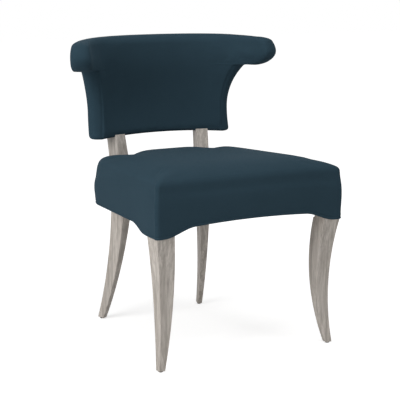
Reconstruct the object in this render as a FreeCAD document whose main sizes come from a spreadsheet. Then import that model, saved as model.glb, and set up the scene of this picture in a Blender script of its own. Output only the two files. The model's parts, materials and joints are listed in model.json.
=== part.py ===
"""Armless upholstered side chair with sabre legs and a curved back under a wide crest.

Millimetres, +Z up, the front of the chair towards -Y. Every piece is drawn with Y = 0 on the line
between the front feet and is then placed so that the origin lies on the floor under the middle of the chair.
"""
import FreeCAD
import Part
import Sketcher
import math
import os

from FreeCAD import Placement, Rotation, Vector

# Driving sizes: name, value, meaning
SIZE_TABLE = [
    ("origin_back", 263.25, "front feet line to the middle of the chair"),
    ("seat_half_width", 284, "half width of the seat at its front edge"),
    ("seat_overhang", 28, "seat front ahead of the front feet line"),
    ("seat_depth", 533, "seat front to seat rear"),
    ("side_taper", 5.6, "angle of each seat side to the centre line"),
    ("front_corner_radius", 10, "front corners of the seat in plan"),
    ("rear_corner_radius", 120, "rear corners of the seat in plan"),
    ("cushion_height", 57, "top of the side rails to the front edge of the seat top"),
    ("seat_crown", 34, "rise of the seat top above its edge"),
    ("seat_rake", 1.15, "backward slope of the seat top"),
    ("crown_inset", 105, "seat outline to the flat middle of the crown"),
    ("seat_draw_in", 4, "how far the seat sides draw in at the hem"),
    ("hem_height", 350, "floor to the hem over the front legs"),
    ("hem_sweep", 95, "width of the sweep of the front hem beside a leg"),
    ("hem_lag", 12, "inner face of a front leg to the middle of the sweep"),
    ("hem_step", 24, "rise of the hem along its sweep"),
    ("hem_arch", 12, "rise of the front hem between the sweeps"),
    ("side_hem_start", 58, "front feet line to the sweep of the side hem"),
    ("side_hem_sweep", 80, "length of the sweep of the side hem"),
    ("side_hem_step", 18, "rise of the side hem along its sweep"),
    ("cover_thickness", 1.5, "upholstery fabric with its lining"),
    ("padding_thickness", 4.5, "padding of the skirt between the rails and the cover"),
    ("rail_thickness", 25, "seat rails"),
    ("rail_height", 75, "hem over the front legs to the top of the side rails"),
    ("strap_width", 50, "webbing straps"),
    ("strap_thickness", 1.5, "webbing straps"),
    ("strap_pitch", 80, "webbing straps from middle to middle"),
    ("soft_gap", 0.3, "clearance between soft pieces and their neighbours"),
    ("glide_thickness", 3, "floor glides under the feet"),
    ("glide_diameter", 12, "floor glides"),
    ("foot_side", 18, "front leg at the floor"),
    ("foot_tuck", 11, "outer face of a front foot inside the outer face of its leg under the hem"),
    ("foot_front", 10, "front face of a front foot ahead of its line"),
    ("leg_top_side", 52, "front leg under the hem"),
    ("leg_reveal", 3, "outer face of a front leg under the hem inside the seat outline"),
    ("leg_outer_hollow", 14, "bow of the outer and front faces of a front leg"),
    ("leg_inner_bow", 17, "bow of the inner and back faces of a front leg"),
    ("leg_block_depth", 46, "front leg inside the seat frame, front to back"),
    ("rear_splay", 15.7, "turn of each rear leg about the vertical"),
    ("rear_outer_face", 20.5, "outer face of a rear leg from its radial line"),
    ("rear_thickness", 35.5, "rear leg at the seat and above"),
    ("rear_foot_thickness", 13, "rear leg at the floor, side to side"),
    ("rear_foot_kick", 94, "front of a rear foot behind the front of its knee"),
    ("rear_foot_depth", 24, "rear leg at the floor, front to back"),
    ("rear_knee_inset", 70.5, "seat rear to the front of a rear leg at its knee"),
    ("rear_knee_depth", 53, "rear leg at its knee, front to back"),
    ("rear_knee_rise", 22, "hem over the front legs to the knee of a rear leg"),
    ("rear_front_bow", 18, "bow of the front of a rear leg below the knee"),
    ("rear_back_bow", 15, "bow of the back of a rear leg below the knee"),
    ("rear_inner_bow", 2.8, "bow of the tapering inner face of a rear leg"),
    ("post_depth", 40, "back post under the back, front to back"),
    ("post_bow", 4, "bow of the back post above the knee"),
    ("tongue_thickness", 18, "thinned post inside the back"),
    ("tongue_length", 92, "thinned post inside the back"),
    ("back_gap", 61, "front edge of the seat top to the lower corners of the back"),
    ("back_arch", 7, "rise of the lower edge of the back"),
    ("back_waist_rise", 67, "lower corners of the back to its waist"),
    ("back_half_width", 206, "half width of the back between its side seams at the waist"),
    ("back_flare", 36, "how far each side of the back flares out under the crest"),
    ("back_half_thickness", 26, "half thickness of the padded back"),
    ("back_edge_round", 21, "rounding of the padded side edges"),
    ("back_lag", 14, "seat rear to the rearmost line of the middle of the back"),
    ("back_sway", 14, "lower edge of the back ahead of its rearmost line"),
    ("crest_sway", 11, "crest ahead of the rearmost line of the back"),
    ("back_middle_rise", 117, "lower corners of the back to its rearmost line"),
    ("back_radius", 600, "plan curve of the back at its lower edge"),
    ("crest_radius", 490, "plan curve of the crest"),
    ("back_height", 285, "lower corners of the back to the top of the crest on the centre line"),
    ("crest_arch", 11, "rise of the crest top from its ends to the centre line"),
    ("crest_end_height", 76, "height of the rounded crest ends"),
    ("crest_end_length", 50, "length of the rounded crest ends"),
    ("crest_half_width", 301, "half width of the crest between its end seams"),
    ("crest_turn", 0.665, "share of the half width at which the back turns forward"),
    ("crest_turn_radius", 191, "plan curve of the crest beyond its turn"),
    ("crest_edge_round", 14, "rounding of the upper crest edges"),
    ("crest_end_round", 12, "rounding of the padded crest ends"),
    ("shell_thickness", 10, "moulded plywood back shell"),
    ("shell_margin", 14, "side seam of the back to the edge of the shell"),
    ("rear_padding", 7.5, "padding and cover behind the shell"),
    ("top_rail_depth", 30, "curved top rail inside the crest, front to back"),
    ("top_rail_height", 42, "curved top rail inside the crest"),
    ("top_rail_cover", 24, "padding over the top rail on the centre line"),
    ("dowel_diameter", 8, "dowels of the rail joints"),
    ("dowel_reach", 18, "dowel length on each side of its joint"),
    ("leg_dowel_reach", 14, "dowel length inside a rear leg"),
    ("dowel_drop", 16, "upper dowels below the top of the side rails"),
    ("dowel_pitch", 24, "lower dowel to upper dowel"),
    ("fit_gap", 0.1, "radial clearance of dowels, screws and bolts in their holes"),
    ("block_drop", 33, "underside of the corner blocks below the top of the side rails"),
    ("block_height", 28, "corner blocks"),
    ("block_reach", 62, "corner block along its rail"),
    ("rear_block_reach", 55, "rear corner block along the rear rail"),
    ("dust_cover_thickness", 1, "dust cover under the seat"),
    ("bolt_diameter", 8, "hanger bolts of the front legs"),
    ("bolt_reach", 32, "hanger bolt inside a front leg"),
    ("bolt_tail", 14, "hanger bolt beyond the corner block"),
    ("washer_diameter", 22, "washers of the hanger bolts"),
    ("washer_thickness", 2, "washers of the hanger bolts"),
    ("washer_gap", 0.8, "washers off the slanting corner blocks at their middle"),
    ("nut_width", 13, "hanger bolt nuts across their flats"),
    ("nut_thickness", 6.5, "hanger bolt nuts"),
    ("screw_diameter", 5, "wood screws"),
    ("screw_head_diameter", 9, "wood screws"),
    ("screw_head_height", 3, "wood screws"),
    ("screw_length", 38, "wood screws"),
    ("screw_grip", 20, "wood of a block under a screw head"),
    ("shell_screw_rise", 31, "lower corners of the back to the lower shell screws"),
    ("shell_screw_pitch", 42, "lower shell screw to upper shell screw"),
    ("shell_screw_length", 24, "screws that hold the shell to the posts"),
]

DOC = FreeCAD.newDocument("side_chair")
SHEET = DOC.addObject("Spreadsheet::Sheet", "Sizes")
PIECES = []
LEFT = -1
RIGHT = 1
SIDES = (("left", LEFT), ("right", RIGHT))
UP = Vector(0, 0, 1)
ROUND_SIDES = 16
ROD_SIDES = 6


class Size:
    """A size that carries its value in millimetres or degrees and the expression it comes from."""

    def __init__(self, value, text):
        self.value = float(value)
        self.text = text

    def __add__(self, other):
        other = as_size(other)
        return Size(self.value + other.value, f"({self.text} + {other.text})")

    def __sub__(self, other):
        other = as_size(other)
        return Size(self.value - other.value, f"({self.text} - {other.text})")

    def __mul__(self, other):
        other = as_size(other)
        return Size(self.value * other.value, f"({self.text} * {other.text})")

    def __truediv__(self, other):
        other = as_size(other)
        return Size(self.value / other.value, f"({self.text} / {other.text})")

    def __radd__(self, other):
        return as_size(other) + self

    def __rsub__(self, other):
        return as_size(other) - self

    def __rmul__(self, other):
        return as_size(other) * self

    def __rtruediv__(self, other):
        return as_size(other) / self

    def __neg__(self):
        return Size(-self.value, f"(0 - {self.text})")


def as_size(number):
    """Gives a plain number the form of a Size."""
    if isinstance(number, Size):
        return number
    return Size(number, repr(float(number)))


def cosine(angle):
    return Size(math.cos(math.radians(angle.value)), f"cos({angle.text})")


def sine(angle):
    return Size(math.sin(math.radians(angle.value)), f"sin({angle.text})")


def tangent(angle):
    return Size(math.tan(math.radians(angle.value)), f"tan({angle.text})")


def root(square):
    return Size(math.sqrt(square.value), f"sqrt({square.text})")


def fill_sheet():
    """Writes the driving sizes to the sheet, one named cell each."""
    for row, (name, value, meaning) in enumerate(SIZE_TABLE, start=1):
        SHEET.set(f"A{row}", meaning)
        SHEET.set(f"B{row}", str(value))
        SHEET.setAlias(f"B{row}", name)
    DOC.recompute()


fill_sheet()


def size(name):
    """A driving size from the sheet."""
    return Size(SHEET.get(name), f"Sizes.{name}")


# Plan of the seat
SEAT_FRONT = -size("seat_overhang")
TAPER = size("side_taper")
SEAT_REAR = SEAT_FRONT + size("seat_depth")
CORNER_Y = SEAT_REAR - size("rear_corner_radius")
CORNER_X = (size("seat_half_width") - size("rear_corner_radius") / cosine(TAPER)
            - (CORNER_Y - SEAT_FRONT) * tangent(TAPER))
RAIL_OUT = size("cover_thickness") + size("padding_thickness")
RAIL_IN = RAIL_OUT + size("rail_thickness")
RAIL_LIFT = size("cover_thickness") + size("soft_gap")
RAIL_TOP = size("hem_height") + size("rail_height")
SEAT_EDGE = RAIL_TOP + size("cushion_height")
CROSS_RAIL_TOP = RAIL_TOP + size("strap_thickness")
FOAM_BOTTOM = CROSS_RAIL_TOP + size("strap_thickness")

# Front legs
LEG_TOP = size("hem_height") - size("soft_gap")
LEG_FRONT = SEAT_FRONT + RAIL_OUT
LEG_OUTER = size("seat_half_width") - size("leg_reveal")
FOOT_OUTER = LEG_OUTER - size("foot_tuck")
LEG_INNER = LEG_OUTER - size("leg_top_side")
BLOCK_BACK = LEG_FRONT + size("leg_block_depth")

# Rear legs, in radial places along a line turned by the splay
SPLAY = size("rear_splay")
INNER_FACE = size("rear_thickness") - size("rear_outer_face")
OUTER_FACE = -size("rear_outer_face")
KNEE_FRONT = SEAT_REAR / cosine(SPLAY) - size("rear_knee_inset")
KNEE_HEIGHT = size("hem_height") + size("rear_knee_rise")
REAR_FOOT_FRONT = KNEE_FRONT + size("rear_foot_kick")

# Dowels and corner blocks of the seat frame
DOWEL_LOW = RAIL_TOP - size("dowel_drop") - size("dowel_pitch")
BLOCK_BOTTOM = RAIL_TOP - size("block_drop")

# Heights of the back, and how far back it stands
BACK_BOTTOM = SEAT_EDGE + size("back_gap")
BACK_WAIST = BACK_BOTTOM + size("back_waist_rise")
BACK_MIDDLE = BACK_BOTTOM + size("back_middle_rise")
CREST_TOP = BACK_BOTTOM + size("back_height")
SHELL_TOP = CREST_TOP - size("top_rail_cover") - size("top_rail_height")
SHELL_SCREW_LOW = BACK_BOTTOM + size("shell_screw_rise")
BACK_MIDDLE_SET = SEAT_REAR + size("back_lag")
BACK_LOW_SET = BACK_MIDDLE_SET - size("back_sway")
CREST_SET = BACK_MIDDLE_SET - size("crest_sway")


def side_x(inset, along):
    """Half width of the seat outline, drawn in by an inset, at a place along the chair."""
    return (size("seat_half_width") - as_size(inset) / cosine(TAPER)
            - (as_size(along) - SEAT_FRONT) * tangent(TAPER))


def radial_point(across, along):
    """Plan place of a point beside the radial line of the right rear leg, as half width and Y."""
    across = as_size(across)
    return (along * sine(SPLAY) - across * cosine(SPLAY), along * cosine(SPLAY) + across * sine(SPLAY))


# Sections of the padded back: shares of the panel height, angles round the crest ends and its upper edge
PANEL_SHARES = (0, 0.6, 1)
END_ANGLES = (-68, 0, 68)
EDGE_ANGLES = (90,)

# How sharply the sides flare and the ends turn forward towards the crest
FLARE_POWER = 2
TURN_POWER = 4

# Lower line of the crest ends
CREST_UNDER = CREST_TOP - size("crest_arch") - size("crest_end_height")


def below_crest(height):
    """A height on the curved part of the back: the crest above it stands upright."""
    height = as_size(height)
    return height if height.value < CREST_UNDER.value else CREST_UNDER


def back_set(height):
    """Y of the middle of the back on the centre line, a parabola through three heights."""
    low, mid, top = BACK_BOTTOM, BACK_MIDDLE, CREST_UNDER
    rise = below_crest(height)
    at_low = (rise - mid) * (rise - top) / ((low - mid) * (low - top))
    at_mid = (rise - low) * (rise - top) / ((mid - low) * (mid - top))
    at_top = (rise - low) * (rise - mid) / ((top - low) * (top - mid))
    return BACK_LOW_SET * at_low + BACK_MIDDLE_SET * at_mid + CREST_SET * at_top


def back_curve(height):
    """Plan radius of the middle of the back, from its lower edge to the crest."""
    share = (below_crest(height) - BACK_BOTTOM) / (CREST_UNDER - BACK_BOTTOM)
    return size("back_radius") + (size("crest_radius") - size("back_radius")) * share


def back_radial(height):
    """Radial place of the middle of the back on the line of a post."""
    reach = back_curve(height)
    aside = back_set(height) * tangent(SPLAY)
    return (back_set(height) - reach + root(reach * reach - aside * aside)) / cosine(SPLAY)


def shell_radial(height):
    """Radial place of the middle of the back beside a post, on the straight run between two sections."""
    low = BACK_BOTTOM
    high = low + (CREST_UNDER - low) * PANEL_SHARES[1]
    share = (as_size(height) - low) / (high - low)
    return back_radial(low) + (back_radial(high) - back_radial(low)) * share


def bind(thing, **sizes):
    """Ties properties of an object to the sheet."""
    for name, value in sizes.items():
        thing.setExpression(name, as_size(value).text)


def finish(thing, label):
    """Names a sub-part and places it so that the origin is under the middle of the chair."""
    thing.Label = label
    DOC.recompute()
    if thing.TypeId == "Part::Feature":
        shift = Vector(0, -size("origin_back").value, 0)
        thing.Placement = Placement(shift, Rotation())
    else:
        turned = thing.Placement.Rotation
        thing.Placement = Placement(Vector(0, 0, 0), turned)
        thing.setExpression("Placement.Base.y", (-size("origin_back")).text)
    PIECES.append(thing)
    return thing


def arc_middle(start, end, bulge):
    """Middle point of an arc that bows to the left of its travel by the bulge."""
    across = end - start
    leftward = Vector(-across.y, across.x, 0).normalize()
    return (start + end) * 0.5 + leftward * bulge


def draw_loop(sketch, corners, bulges):
    """Draws one closed loop of lines and arcs whose corners and arc radii follow the sheet."""
    points = [Vector(u.value, v.value, 0) for u, v in corners]
    count = len(corners)
    ends = []
    for index in range(count):
        start, end = points[index], points[(index + 1) % count]
        if index in bulges:
            bulge = bulges[index]
            middle = arc_middle(start, end, bulge.value)
            runs_back = bulge.value > 0
            first, last = (end, start) if runs_back else (start, end)
            edge = sketch.addGeometry(Part.Arc(first, middle, last))
            ends.append((edge, 2, 1) if runs_back else (edge, 1, 2))
        else:
            edge = sketch.addGeometry(Part.LineSegment(start, end))
            ends.append((edge, 1, 2))
    for index in range(count):
        edge, first, last = ends[index]
        following = ends[(index + 1) % count]
        sketch.addConstraint(Sketcher.Constraint("Coincident", edge, last, following[0], following[1]))
    for index, (u, v) in enumerate(corners):
        edge, first, last = ends[index]
        for kind, place in (("DistanceX", u), ("DistanceY", v)):
            number = sketch.addConstraint(Sketcher.Constraint(kind, edge, first, place.value))
            sketch.setExpression(f"Constraints[{number}]", place.text)
    for index, bulge in bulges.items():
        u_run = corners[(index + 1) % count][0] - corners[index][0]
        v_run = corners[(index + 1) % count][1] - corners[index][1]
        height = bulge if bulge.value > 0 else -bulge
        radius = (u_run * u_run + v_run * v_run) / (8 * height) + height / 2
        number = sketch.addConstraint(Sketcher.Constraint("Radius", ends[index][0], radius.value))
        sketch.setExpression(f"Constraints[{number}]", radius.text)


def new_sketch(body, name, role, loops, raised=0):
    """Sketch on one of the body's own origin planes, moved along its normal."""
    sketch = body.newObject("Sketcher::SketchObject", name)
    plane = next(item for item in body.Origin.OriginFeatures if item.Role == role)
    sketch.AttachmentSupport = [(plane, "")]
    sketch.MapMode = "FlatFace"
    sketch.setExpression(".AttachmentOffset.Base.z", as_size(raised).text)
    for corners, bulges in loops:
        draw_loop(sketch, [(as_size(u), as_size(v)) for u, v in corners], bulges)
    DOC.recompute()
    return sketch


def add_pad(body, sketch, length, side="One side"):
    pad = body.newObject("PartDesign::Pad", "Pad")
    pad.Profile = sketch
    pad.SideType = side
    bind(pad, Length=length)
    DOC.recompute()
    return pad


def cut_through(body, sketch):
    """Cuts a sketch through the whole body on both sides and checks that wood was removed."""
    before = body.Shape.Volume
    pocket = body.newObject("PartDesign::Pocket", "Pocket")
    pocket.Profile = sketch
    pocket.Type = "ThroughAll"
    pocket.SideType = "Symmetric"
    DOC.recompute()
    if body.Shape.Volume >= before:
        raise RuntimeError(f"{body.Label}: the pocket removes nothing")
    return pocket


def new_body(name):
    return DOC.addObject("PartDesign::Body", name + "_body")


def rod(diameter, start, direction, length, name="Rod", sides=ROD_SIDES):
    """Bar with flat sides from a start point, whose parts are sizes, along a direction."""
    bar = DOC.addObject("Part::Prism", name)
    bar.Polygon = sides
    bind(bar, Circumradius=as_size(diameter) / 2, Height=length)
    bar.Placement = Placement(Vector(0, 0, 0), Rotation(UP, direction))
    for axis, place in zip("xyz", start):
        bar.setExpression(f"Placement.Base.{axis}", as_size(place).text)
    return bar


def group(items, name):
    bundle = DOC.addObject("Part::Compound", name)
    bundle.Links = items
    return bundle


def drilled(base, holes, name):
    """A piece with holes cut out of it."""
    cut = DOC.addObject("Part::Cut", name + "_drilled")
    cut.Base = base
    cut.Tool = group(holes, name + "_holes")
    DOC.recompute()
    if cut.Shape.Volume >= base.Shape.Volume:
        raise RuntimeError(f"{name}: the holes remove nothing")
    return cut


def sweep_bulge(width, rise):
    """Bow of each of the two arcs of a level S-shaped sweep."""
    slope = root(width * width + rise * rise)
    return slope / 4 * (slope - width) / rise


def front_hem(lift):
    """Lower line of the seat front from left to right: corners and the bows of their arcs."""
    half = size("hem_sweep") / 2
    low = size("hem_height") + lift
    mid = low + size("hem_step") / 2
    high = low + size("hem_step")
    middle = LEG_INNER - size("hem_lag")
    right = [(middle - half, high), (middle, mid), (middle + half, low)]
    left = [(-x, z) for x, z in reversed(right)]
    bow = sweep_bulge(size("hem_sweep"), size("hem_step"))
    return left + right, {0: -bow, 1: bow, 2: size("hem_arch"), 3: bow, 4: -bow}


def side_hem(lift):
    """Lower line of the seat sides from front to rear: corners and the bows of their arcs."""
    start = size("side_hem_start")
    low = size("hem_height") + lift
    points = [(start, low), (start + size("side_hem_sweep") / 2, low + size("side_hem_step") / 2),
              (start + size("side_hem_sweep"), low + size("side_hem_step"))]
    bow = sweep_bulge(size("side_hem_sweep"), size("side_hem_step"))
    return points, {0: -bow, 1: bow}


def plan_wire(points, closed=True):
    """Wire through points; an item of two points is an arc through the first to the second."""
    edges = []
    here = points[0]
    for item in points[1:]:
        if isinstance(item, tuple):
            edges.append(Part.Arc(here, item[0], item[1]).toShape())
            here = item[1]
        else:
            edges.append(Part.LineSegment(here, item).toShape())
            here = item
    if closed:
        edges.append(Part.LineSegment(here, points[0]).toShape())
    return Part.Wire(edges)


# Legs and floor glides

def front_leg(word, side):
    """Sabre leg with the same bow on both pairs of faces, and its square block inside the seat frame."""
    floor = size("glide_thickness")
    outer_bow, inner_bow = size("leg_outer_hollow"), size("leg_inner_bow")
    body = new_body("front_leg_" + word)
    across = [(side * FOOT_OUTER, floor), (side * LEG_OUTER, LEG_TOP),
              (side * LEG_INNER, LEG_TOP), (side * (FOOT_OUTER - size("foot_side")), floor)]
    reach = size("leg_top_side") + size("leg_inner_bow")
    side_face = new_sketch(body, "AcrossFaces", "XZ_Plane",
                           [(across, {0: side * outer_bow, 2: -side * inner_bow})])
    add_pad(body, side_face, 2 * reach, "Symmetric")
    foot_back = size("foot_side") - size("foot_front")
    along = [(-size("foot_front"), floor), (LEG_FRONT, LEG_TOP),
             (LEG_FRONT + size("leg_top_side"), LEG_TOP), (foot_back, floor)]
    past = 2 * reach
    frame = [(-past, -past), (past, -past), (past, LEG_TOP + past), (-past, LEG_TOP + past)]
    front_face = new_sketch(body, "FrontAndBack", "YZ_Plane",
                            [(frame, {}), (along, {0: -outer_bow, 2: inner_bow})])
    cut_through(body, front_face)
    outer = side_x(RAIL_OUT, BLOCK_BACK)
    block = [(side * LEG_INNER, LEG_FRONT), (side * outer, LEG_FRONT), (side * outer, BLOCK_BACK),
             (side * LEG_INNER, BLOCK_BACK)]
    top = new_sketch(body, "Block", "XY_Plane", [(block, {})], LEG_TOP)
    add_pad(body, top, RAIL_TOP - LEG_TOP)
    gap = size("fit_gap")
    holes = [rod(size("dowel_diameter") + 2 * gap, *place)
             for place in front_dowels(side) + side_dowels(side)]
    holes.append(rod(size("bolt_diameter") + 2 * gap, *bolt_line(side, 0, size("bolt_reach") + gap)))
    return finish(drilled(body, holes, "front_leg_" + word), "front_leg_" + word)


def front_foot(side):
    """Plan middle of a front foot."""
    return (side * (FOOT_OUTER - size("foot_side") / 2), size("foot_side") / 2 - size("foot_front"))


def rear_foot(side):
    """Plan middle of a rear foot."""
    middle = OUTER_FACE + size("rear_foot_thickness") / 2
    half_width, along = radial_point(middle, REAR_FOOT_FRONT + size("rear_foot_depth") / 2)
    return side * half_width, along


def post_front(height):
    """Radial place of the front of the post where the back begins."""
    return back_radial(height) - size("back_half_thickness") + RAIL_LIFT


def rear_leg_profile(spread):
    """Side outline of a rear leg and its post under the back, spread outwards for a clearance."""
    floor = size("glide_thickness")
    knee = KNEE_HEIGHT
    neck = BACK_BOTTOM + size("back_arch")
    front = post_front(neck) - spread
    corners = [(REAR_FOOT_FRONT - spread, floor), (KNEE_FRONT - spread, knee),
               (front, neck), (front + size("post_depth") + 2 * spread, neck),
               (KNEE_FRONT + size("rear_knee_depth") + spread, knee),
               (REAR_FOOT_FRONT + size("rear_foot_depth") + spread, floor)]
    bows = {0: size("rear_front_bow"), 1: size("post_bow"), 3: -size("post_bow"), 4: -size("rear_back_bow")}
    return corners, bows


def rear_leg_body(word, side, spread):
    """Rear leg cut from a plank whose outer face stays flat, tapering on its inner face to the foot."""
    body = new_body("rear_leg_" + word)
    outline = new_sketch(body, "Outline", "YZ_Plane", [rear_leg_profile(spread)],
                         (OUTER_FACE if side == LEFT else -INNER_FACE) - spread)
    add_pad(body, outline, size("rear_thickness") + 2 * spread)
    return body


def rear_leg(word, side):
    """Rear leg and back post in one piece, with a thinned tongue inside the back."""
    body = rear_leg_body(word, side, as_size(0))
    inward = -side
    floor = size("glide_thickness")
    knee = KNEE_HEIGHT
    foot_inner = OUTER_FACE + size("rear_foot_thickness")
    past = 2 * size("rear_thickness")
    taper = [(inward * foot_inner, floor), (inward * INNER_FACE, knee), (inward * past, knee),
             (inward * past, floor - past), (inward * foot_inner, floor - past)]
    taper_sketch = new_sketch(body, "InnerTaper", "XZ_Plane", [(taper, {0: inward * size("rear_inner_bow")})])
    cut_through(body, taper_sketch)
    neck = BACK_BOTTOM + size("back_arch")
    tip = neck + size("tongue_length")
    rear_low = shell_radial(neck) + shell_front() - size("soft_gap")
    rear_high = shell_radial(tip) + shell_front() - size("soft_gap")
    thick = size("tongue_thickness")
    tongue = [(rear_low - thick, neck), (rear_low, neck), (rear_high, tip), (rear_high - thick, tip)]
    tongue_sketch = new_sketch(body, "Tongue", "YZ_Plane", [(tongue, {})],
                               OUTER_FACE if side == LEFT else -INNER_FACE)
    add_pad(body, tongue_sketch, size("rear_thickness"))
    turn_body(body, side)
    gap = size("fit_gap")
    holes = [rod(size("dowel_diameter") + 2 * gap, *place) for place in rear_dowels(side) + end_dowels(side)]
    holes += [rod(size("screw_diameter") + 2 * gap, *place) for place in shell_screw_lines(side)]
    return finish(drilled(body, holes, "rear_leg_" + word), "rear_leg_" + word)


def turn_body(body, side):
    """Turns a rear leg about the vertical to its splay."""
    body.Placement = Placement(Vector(0, 0, 0), Rotation(UP, 1))
    body.setExpression("Placement.Rotation.Angle", (-side * SPLAY).text)
    DOC.recompute()


def shell_front():
    """Front face of the back shell, behind the middle of the back."""
    return size("back_half_thickness") - size("rear_padding") - size("shell_thickness")


def floor_glides():
    """Round glides under the four feet."""
    glides = []
    for word, side in SIDES:
        for foot in (front_foot(side), rear_foot(side)):
            glides.append(rod(size("glide_diameter"), (foot[0], foot[1], 0), UP, size("glide_thickness"),
                              name="Glide", sides=ROUND_SIDES))
    finish(group(glides, "Glides"), "floor_glides")


# Seat frame

def front_rail():
    body = new_body("front_rail")
    hem, bows = front_hem(RAIL_LIFT)
    step = hem[1][1]
    corners = ([(-LEG_INNER, step)] + hem[1:5]
               + [(LEG_INNER, step), (LEG_INNER, CROSS_RAIL_TOP), (-LEG_INNER, CROSS_RAIL_TOP)])
    bows = {1: bows[1], 2: bows[2], 3: bows[3]}
    face = new_sketch(body, "Face", "XZ_Plane", [(corners, bows)], -(LEG_FRONT + size("rail_thickness")))
    add_pad(body, face, size("rail_thickness"))
    gap = size("fit_gap")
    holes = [rod(size("dowel_diameter") + 2 * gap, *place)
             for word, side in SIDES for place in front_dowels(side)]
    holes += [rod(size("screw_diameter") + 2 * gap, *place) for place in front_screws("shank")]
    finish(drilled(body, holes, "front_rail"), "front_rail")


def side_rail(word, side):
    """Side rail bent round the rear corner of the seat up to the rear leg."""
    body = new_body("side_rail_" + word)
    low = size("hem_height") + RAIL_LIFT

    def corner_point(inset):
        radius = size("rear_corner_radius") - inset
        return CORNER_X + radius * cosine(TAPER), CORNER_Y + radius * sine(TAPER)

    def leg_point(inset):
        radius = size("rear_corner_radius") - inset
        aside = CORNER_Y * sine(SPLAY) - CORNER_X * cosine(SPLAY) - OUTER_FACE
        along = CORNER_X * sine(SPLAY) + CORNER_Y * cosine(SPLAY)
        return radial_point(OUTER_FACE, along + root(radius * radius - aside * aside))

    def arc_bow(start, end, inset):
        radius = size("rear_corner_radius") - inset
        run_x, run_y = end[0] - start[0], end[1] - start[1]
        return radius - root(radius * radius - (run_x * run_x + run_y * run_y) / 4)

    outer_start, outer_end = corner_point(RAIL_OUT), leg_point(RAIL_OUT)
    inner_start, inner_end = corner_point(RAIL_IN), leg_point(RAIL_IN)
    half_plan = [(side_x(RAIL_OUT, BLOCK_BACK), BLOCK_BACK), outer_start, outer_end, inner_end, inner_start,
                 (side_x(RAIL_IN, BLOCK_BACK), BLOCK_BACK)]
    plan = [(side * x, y) for x, y in half_plan]
    bows = {1: -side * arc_bow(outer_start, outer_end, RAIL_OUT),
            3: side * arc_bow(inner_start, inner_end, RAIL_IN)}
    plan_sketch = new_sketch(body, "Plan", "XY_Plane", [(plan, bows)], low)
    add_pad(body, plan_sketch, RAIL_TOP - low)
    hem, hem_bows = side_hem(RAIL_LIFT)
    rear = size("seat_depth")
    below = hem + [(rear, hem[2][1]), (rear, low - rear), (hem[0][0], low - rear)]
    hem_sketch = new_sketch(body, "Hem", "YZ_Plane", [(below, hem_bows)])
    cut_through(body, hem_sketch)
    gap = size("fit_gap")
    holes = [rod(size("dowel_diameter") + 2 * gap, *place) for place in side_dowels(side) + end_dowels(side)]
    holes += [rod(size("screw_diameter") + 2 * gap, *place) for place in side_screws(side, "shank")]
    finish(drilled(body, holes, "side_rail_" + word), "side_rail_" + word)


def rear_rail_face(inset):
    """Y of a face of the rear rail."""
    return SEAT_REAR - inset


def inner_face_x(along):
    """Half width of the inner face of a rear leg at a place along the chair."""
    return along * tangent(SPLAY) - INNER_FACE / cosine(SPLAY)


def rear_rail():
    body = new_body("rear_rail")
    low = size("hem_height") + size("side_hem_step") + RAIL_LIFT
    front, back = rear_rail_face(RAIL_IN), rear_rail_face(RAIL_OUT)
    plan = [(-inner_face_x(front), front), (inner_face_x(front), front),
            (inner_face_x(back), back), (-inner_face_x(back), back)]
    plan_sketch = new_sketch(body, "Plan", "XY_Plane", [(plan, {})], low)
    add_pad(body, plan_sketch, CROSS_RAIL_TOP - low)
    gap = size("fit_gap")
    holes = [rod(size("dowel_diameter") + 2 * gap, *place)
             for word, side in SIDES for place in rear_dowels(side)]
    finish(drilled(body, holes, "rear_rail"), "rear_rail")


def heights():
    """Heights of the lower and the upper dowels."""
    return (DOWEL_LOW, DOWEL_LOW + size("dowel_pitch"))


def front_dowels(side):
    """Dowel lines between the front rail and a front leg."""
    reach = size("dowel_reach")
    middle = LEG_FRONT + size("rail_thickness") / 2
    start = side * (LEG_INNER - reach)
    return [((start, middle, height), Vector(side, 0, 0), 2 * reach) for height in heights()]


def side_dowels(side):
    """Dowel lines between a side rail and a front leg."""
    reach = size("dowel_reach")
    direction = Vector(-side * sine(TAPER).value, cosine(TAPER).value, 0)
    begin = BLOCK_BACK - reach * cosine(TAPER)
    start = side * side_x((RAIL_OUT + RAIL_IN) / 2, begin)
    return [((start, begin, height), direction, 2 * reach) for height in heights()]


def rear_joint():
    """Radial place of the middle of the joint faces on a rear leg."""
    back_of_leg = KNEE_FRONT + size("rear_knee_depth")
    return back_of_leg - size("dowel_diameter")


def inward_direction(side):
    return Vector(-side * cosine(SPLAY).value, sine(SPLAY).value, 0)


def rear_dowels(side):
    """Dowel lines between the rear rail and a rear leg."""
    start = radial_point(INNER_FACE - size("leg_dowel_reach"), rear_joint())
    length = size("leg_dowel_reach") + size("dowel_reach")
    return [((side * start[0], start[1], height), inward_direction(side), length) for height in heights()]


def end_dowels(side):
    """Dowel lines between the bent end of a side rail and a rear leg."""
    start = radial_point(OUTER_FACE - size("dowel_reach"), rear_joint())
    length = size("leg_dowel_reach") + size("dowel_reach")
    return [((side * start[0], start[1], height), inward_direction(side), length) for height in heights()]


def rail_dowels():
    pegs = []
    for word, side in SIDES:
        for place in front_dowels(side) + side_dowels(side) + rear_dowels(side) + end_dowels(side):
            pegs.append(rod(size("dowel_diameter"), *place, name="Dowel"))
    finish(group(pegs, "Dowels"), "rail_dowels")


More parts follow.
